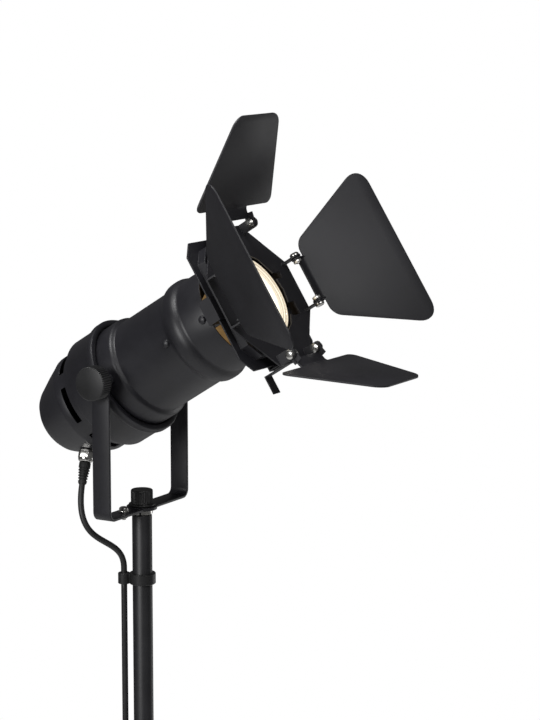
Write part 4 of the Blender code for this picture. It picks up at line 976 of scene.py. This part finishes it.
def makePanPivot():
    nut = spun(scaled([(0, 9.95), (4.15, 9.95), (4.15, 1.45), (8.4, 1.45), (8.6, 1.7), (8.6, 2.5),
                       (8.3, 2.9),
                       (7.5, 3), (7.2, 3.5), (7.2, 11.1), (7, 11.6), (6.6, 11.95), (0, 11.95)]), 144)
    knurled(nut, 36, 0.3 * mm, 6.9 * mm, 3.2 * mm)
    finished("panNut", turned(nut, yokeTurn), "pan_nut", plastic, ["pan_nut"], angle=40)
    ring = bmesh.new()
    corners = [ring.verts.new((radius * mm, 0, height * mm)) for radius, height in
               ((4.2, -3.9), (6.8, -3.9), (7, -3.7), (7, -1.3), (6.8, -1.1), (4.2, -1.1))]
    edges = [ring.edges.new((corners[index - 1], corners[index])) for index in range(len(corners))]
    bmesh.ops.spin(ring, geom=corners + edges, axis=(0, 0, 1), cent=(0, 0, 0), angle=math.radians(350),
                   steps=72)
    ends = [edge for edge in ring.edges if edge.is_boundary]
    bmesh.ops.holes_fill(ring, edges=ends, sides=0)
    turned(bounded(ring), yokeTurn @ Matrix.Rotation(math.radians(-150), 4, "Z"))
    finished("springWasher", ring, "mast", steel, ["spring_washer"])


# stand

pole = {"mast": 6.5, "column": 9.5, "mastTop": panCentre.z / mm - 4.5, "mastFoot": panCentre.z / mm - 564.5,
        "columnTop": 860.1, "columnFoot": 60}


def makePoles():
    top, foot = pole["mastTop"], pole["mastFoot"]
    pinTop = panCentre.z / mm + 9.35
    mast = spun(scaled([(0, top - 12), (5.5, top - 12), (5.5, foot), (8, foot), (8.15, foot + 0.4),
                        (8.15, foot + 19.6),
                        (8, foot + 20), (6.5, foot + 20.4), (6.5, top - 0.8), (6.3, top - 0.25), (5.8, top),
                        (4, top),
                        (4, pinTop - 0.5), (3.5, pinTop), (0, pinTop)]), 72)
    finished("mastTube", turned(mast, standTurn), "mast", standPaint, ["mast"])
    low, high = pole["columnFoot"], pole["columnTop"]
    column = spun(scaled([(8.3, low), (9.2, low), (9.5, low + 0.5), (9.5, high - 0.5), (9.2, high),
                          (8.3, high)]), 80,
                  True)
    finished("columnTube", turned(column, standTurn), "stand", standPaint, ["column"])


def makeHeightLock():
    screwTurn = Matrix.Translation(Vector(joints["height_screw_turn"]["pos_m"])) @ Matrix.Rotation(math.pi / 2, 4, "X")
    collar = spun(scaled([(9.65, 842.1), (12.6, 842.1), (13, 842.6), (13, 847), (12.5, 847.5), (12.5, 849.5),
                          (13, 850),
                          (13, 874.4), (12.7, 875.3), (12, 876), (11, 876.1), (6.65, 876.1), (6.65, 860.25),
                          (9.65, 860.25)]), 80, True)
    boss = spun(scaled([(2.65, 8.5), (5.6, 8.5), (5.2, 12.6), (5, 14), (5, 17.6), (4.6, 18), (2.65, 18)]),
                40, True)
    added(turned(collar, standTurn), turned(boss, screwTurn))
    finished("heightCollar", collar, "stand", plastic, ["height_collar"])
    screw = spun(scaled([(0, 6.8), (2.2, 6.8), (2.5, 7.2), (2.5, 18.15), (6, 18.15), (8.3, 20.1), (9, 20.9),
                         (9, 26),
                         (8.7, 26.7), (7.9, 27.15), (6.8, 27.1), (6.3, 26.5), (0, 26.2)]), 96)
    knurled(screw, 24, 0.6 * mm, 8.2 * mm)
    finished("heightScrew", turned(screw, screwTurn), "height_screw", plastic,
             ["height_screw"],
             angle=40)


legSpec = {"lean": math.radians(30), "length": 470, "radius": 5.5, "bracketOut": 11, "bracketDrop": 170,
           "footRadius": 9}


def legTurn(index):
    around = math.radians(120 * index - 90)
    pivot = Vector(joints[f"leg_{index + 1}_fold"]["pos_m"])
    return Matrix.Translation(pivot) @ Matrix.Rotation(around, 4, "Z") @ Matrix.Rotation(-legSpec["lean"], 4,
                                                                                         "Y")


def makeLeg(index):
    spec = legSpec
    tip, radius = -spec["length"], spec["radius"]
    leg = spun(scaled([(0, tip), (radius - 0.4, tip), (radius, tip + 0.4), (radius, -16),
                       (radius - 0.8, -14),
                       (0, -13.6)]), 48)
    knuckle = slab((-4.5 * mm, -4.5 * mm, -19 * mm), (4.5 * mm, 4.5 * mm, 5 * mm))
    tops = [edge for edge in knuckle.edges if all(vert.co.z > 4 * mm for vert in edge.verts)
            and abs(edge.verts[0].co.y - edge.verts[1].co.y) > mm]
    rounded(knuckle, tops, 4.3 * mm, 8)
    parts = [knuckle]
    band = spun(scaled([(radius, -180), (6.1, -180), (6.4, -179.4), (6.4, -160.6), (6.1, -160),
                        (radius, -160)]), 48,
                True)
    parts.append(band)
    for side in (-1, 1):
        near, far = sorted((side * 1.15 * mm, side * 2.75 * mm))
        cheek = slab((-16 * mm, near, -175 * mm), (-3 * mm, far, -165 * mm))
        ends = [edge for edge in cheek.edges if all(vert.co.x < -15 * mm for vert in edge.verts)
                and abs(edge.verts[0].co.y - edge.verts[1].co.y) > mm]
        rounded(cheek, ends, 4.6 * mm, 8)
        parts.append(cheek)
    pin = spun(scaled([(0, -3.7), (1.6, -3.6), (2, -3.2), (2, 3.2), (1.6, 3.6), (0, 3.7)]), 28)
    place = Matrix.Translation((-spec["bracketOut"] * mm, 0, -spec["bracketDrop"] * mm))
    parts.append(turned(pin, place @ Matrix.Rotation(math.pi / 2, 4, "X")))
    body = f"leg_{index + 1}"
    finished(f"legTube-{index + 1}", turned(added(leg, *parts), legTurn(index)), body, standPaint,
             [body], bevel=0.2 * mm)
    wide = spec["footRadius"]
    profile = [(0, tip - 0.15), (5.65, tip - 0.15), (5.65, tip + 26), (7, tip + 26), (7.5, tip + 25.4)]
    for rib in range(3):
        height = tip + 21 - rib * 5
        edge = 7.7 + rib * 0.25
        profile += [(edge, height + 1.6), (edge - 0.5, height + 1), (edge - 0.5, height),
                    (edge + 0.1, height - 0.6)]
    profile += [(wide - 0.3, tip), (wide, tip - 3), (wide, tip - 16), (0, tip - 16)]
    foot = turned(spun(scaled(profile), 56), legTurn(index))
    cut = bmesh.ops.bisect_plane(foot, geom=foot.verts[:] + foot.edges[:] + foot.faces[:],
                                 plane_co=(0, 0, 0),
                                 plane_no=(0, 0, 1), clear_inner=True)
    rim = [item for item in cut["geom_cut"] if isinstance(item, bmesh.types.BMEdge)]
    bmesh.ops.holes_fill(foot, edges=rim, sides=0)
    finished(f"footCap-{index + 1}", bounded(foot), body, rubber, [f"foot_{index + 1}"])


def makeClip(name, body, radius, offset, height):
    half = 3.6
    sleeve = spun(scaled([(radius + 0.15, -half), (radius + 1.75, -half), (radius + 2.15, -half + 0.4),
                          (radius + 2.15, half - 0.4), (radius + 1.75, half), (radius + 0.15, half)]), 64,
                  True)
    eye = spun(scaled([(2.15, -half), (3.6, -half), (3.95, -half + 0.35), (3.95, half - 0.35), (3.6, half),
                       (2.15, half)]), 40, True)
    turned(eye, Matrix.Translation((offset, 0, 0)))
    web = slab(((radius + 1.2) * mm, -2.3 * mm, (0.3 - half) * mm),
               (offset - 2.6 * mm, 2.3 * mm, (half - 0.3) * mm),
               0.4 * mm)
    place = standTurn @ Matrix.Translation((0, 0, height)) @ Matrix.Rotation(lead["side"], 4, "Z")
    finished(f"clip-{name}", turned(added(sleeve, eye, web), place), body, plastic, [name])


makeHingeBolts()
makeYoke()
makeTiltKnobs()
makePanPivot()
print("yoke, knobs and bolts made")
makePoles()
makeHeightLock()
for legIndex in range(3):
    makeLeg(legIndex)
makeClip("cord_clip_upper", "yoke", pole["mast"], lead["offset"], lead["upperClip"])
makeClip("cord_clip_middle", "mast", pole["mast"], lead["offset"], lead["middleClip"])
makeClip("cord_clip_lower", "stand", pole["column"], lead["lowOffset"], lead["lowerClip"])
print("stand made")


# sheet and moulded pieces kept from the frame, their edges eased

def softened(name, body, finish, width):
    finished(f"eased-{name}", fromFrame(name), body, finish, [name], bevel=width)


for clipSide in ("left", "right", "bottom"):
    softened(f"channel_clip_{clipSide}", "head", paint, 0.18 * mm)
softened("slide_plate", "head", paint, 0.18 * mm)
softened("door_frame", "head", doorPaint, 0.18 * mm)
softened("lamp_carrier", "head", paint, 0.15 * mm)
softened("lamp_holder", "head", ceramic, 0.3 * mm)
softened("leg_hub", "stand", plastic, 0.35 * mm)
softened("brace_collar", "brace_collar", plastic, 0.35 * mm)
for legIndex in range(3):
    softened(f"brace_{legIndex + 1}", f"brace_{legIndex + 1}", standPaint, 0.25 * mm)
frame["nodes"]["inner_lead"].material_slots[0].material = sheath
print("sheet pieces eased")


# floor, world and lights

studio = {
    "floorRadius": 3.0,
    "backdrop": 1.0,
    "ambient": 0.09,
    "lamps": [  # place from the tilt centre, size, watts
        ((-0.75, -1.6, 1.45), 1.3, 17),
        ((-1.9, 0.1, 0.35), 0.9, 21),
        ((-0.5, 0.35, 2.1), 0.8, 30),
        ((1.7, -0.7, -0.5), 0.8, 3),
    ],
}


def makeStudio(spec):
    floor = bmesh.new()
    bmesh.ops.create_circle(floor, cap_ends=True, segments=96, radius=spec["floorRadius"])
    turned(floor, Matrix.Translation((0, columnY, -0.1 * mm)))
    mesh = bpy.data.meshes.new("studioFloor")
    floor.to_mesh(mesh)
    floor.free()
    ground = Finish("palePaper", {"Base Color": (0.88, 0.88, 0.88, 1), "Roughness": 0.9,
                                  "Emission Color": (1, 1, 1, 1), "Emission Strength": 0.1})
    mesh.materials.append(ground.material)
    base = placed("studioFloor", mesh)
    world = bpy.data.worlds.new("studioWorld")
    bpy.context.scene.world = world
    world.use_nodes = True
    tree = world.node_tree
    seen = tree.nodes["Background"]
    seen.inputs["Strength"].default_value = spec["backdrop"]
    seen.inputs["Color"].default_value = (1, 1, 1, 1)
    cast = tree.nodes.new("ShaderNodeBackground")
    cast.inputs["Strength"].default_value = spec["ambient"]
    cast.inputs["Color"].default_value = (1, 1, 1, 1)
    path = tree.nodes.new("ShaderNodeLightPath")
    blend = tree.nodes.new("ShaderNodeMixShader")
    tree.links.new(path.outputs["Is Camera Ray"], blend.inputs[0])
    tree.links.new(cast.outputs[0], blend.inputs[1])
    tree.links.new(seen.outputs[0], blend.inputs[2])
    tree.links.new(blend.outputs[0], tree.nodes["World Output"].inputs["Surface"])
    for index, (place, size, watts) in enumerate(spec["lamps"]):
        source = bpy.data.lights.new(f"softbox{index}", "AREA")
        source.shape = "DISK"
        source.size = size
        source.energy = watts
        lamp = placed(f"softbox{index}", source)
        lamp.location = tiltCentre + Vector(place)
        lamp.rotation_euler = (-Vector(place)).to_track_quat("-Z", "Y").to_euler()
    bpy.context.scene.view_settings.view_transform = "Standard"


makeStudio(studio)
print("studio made")
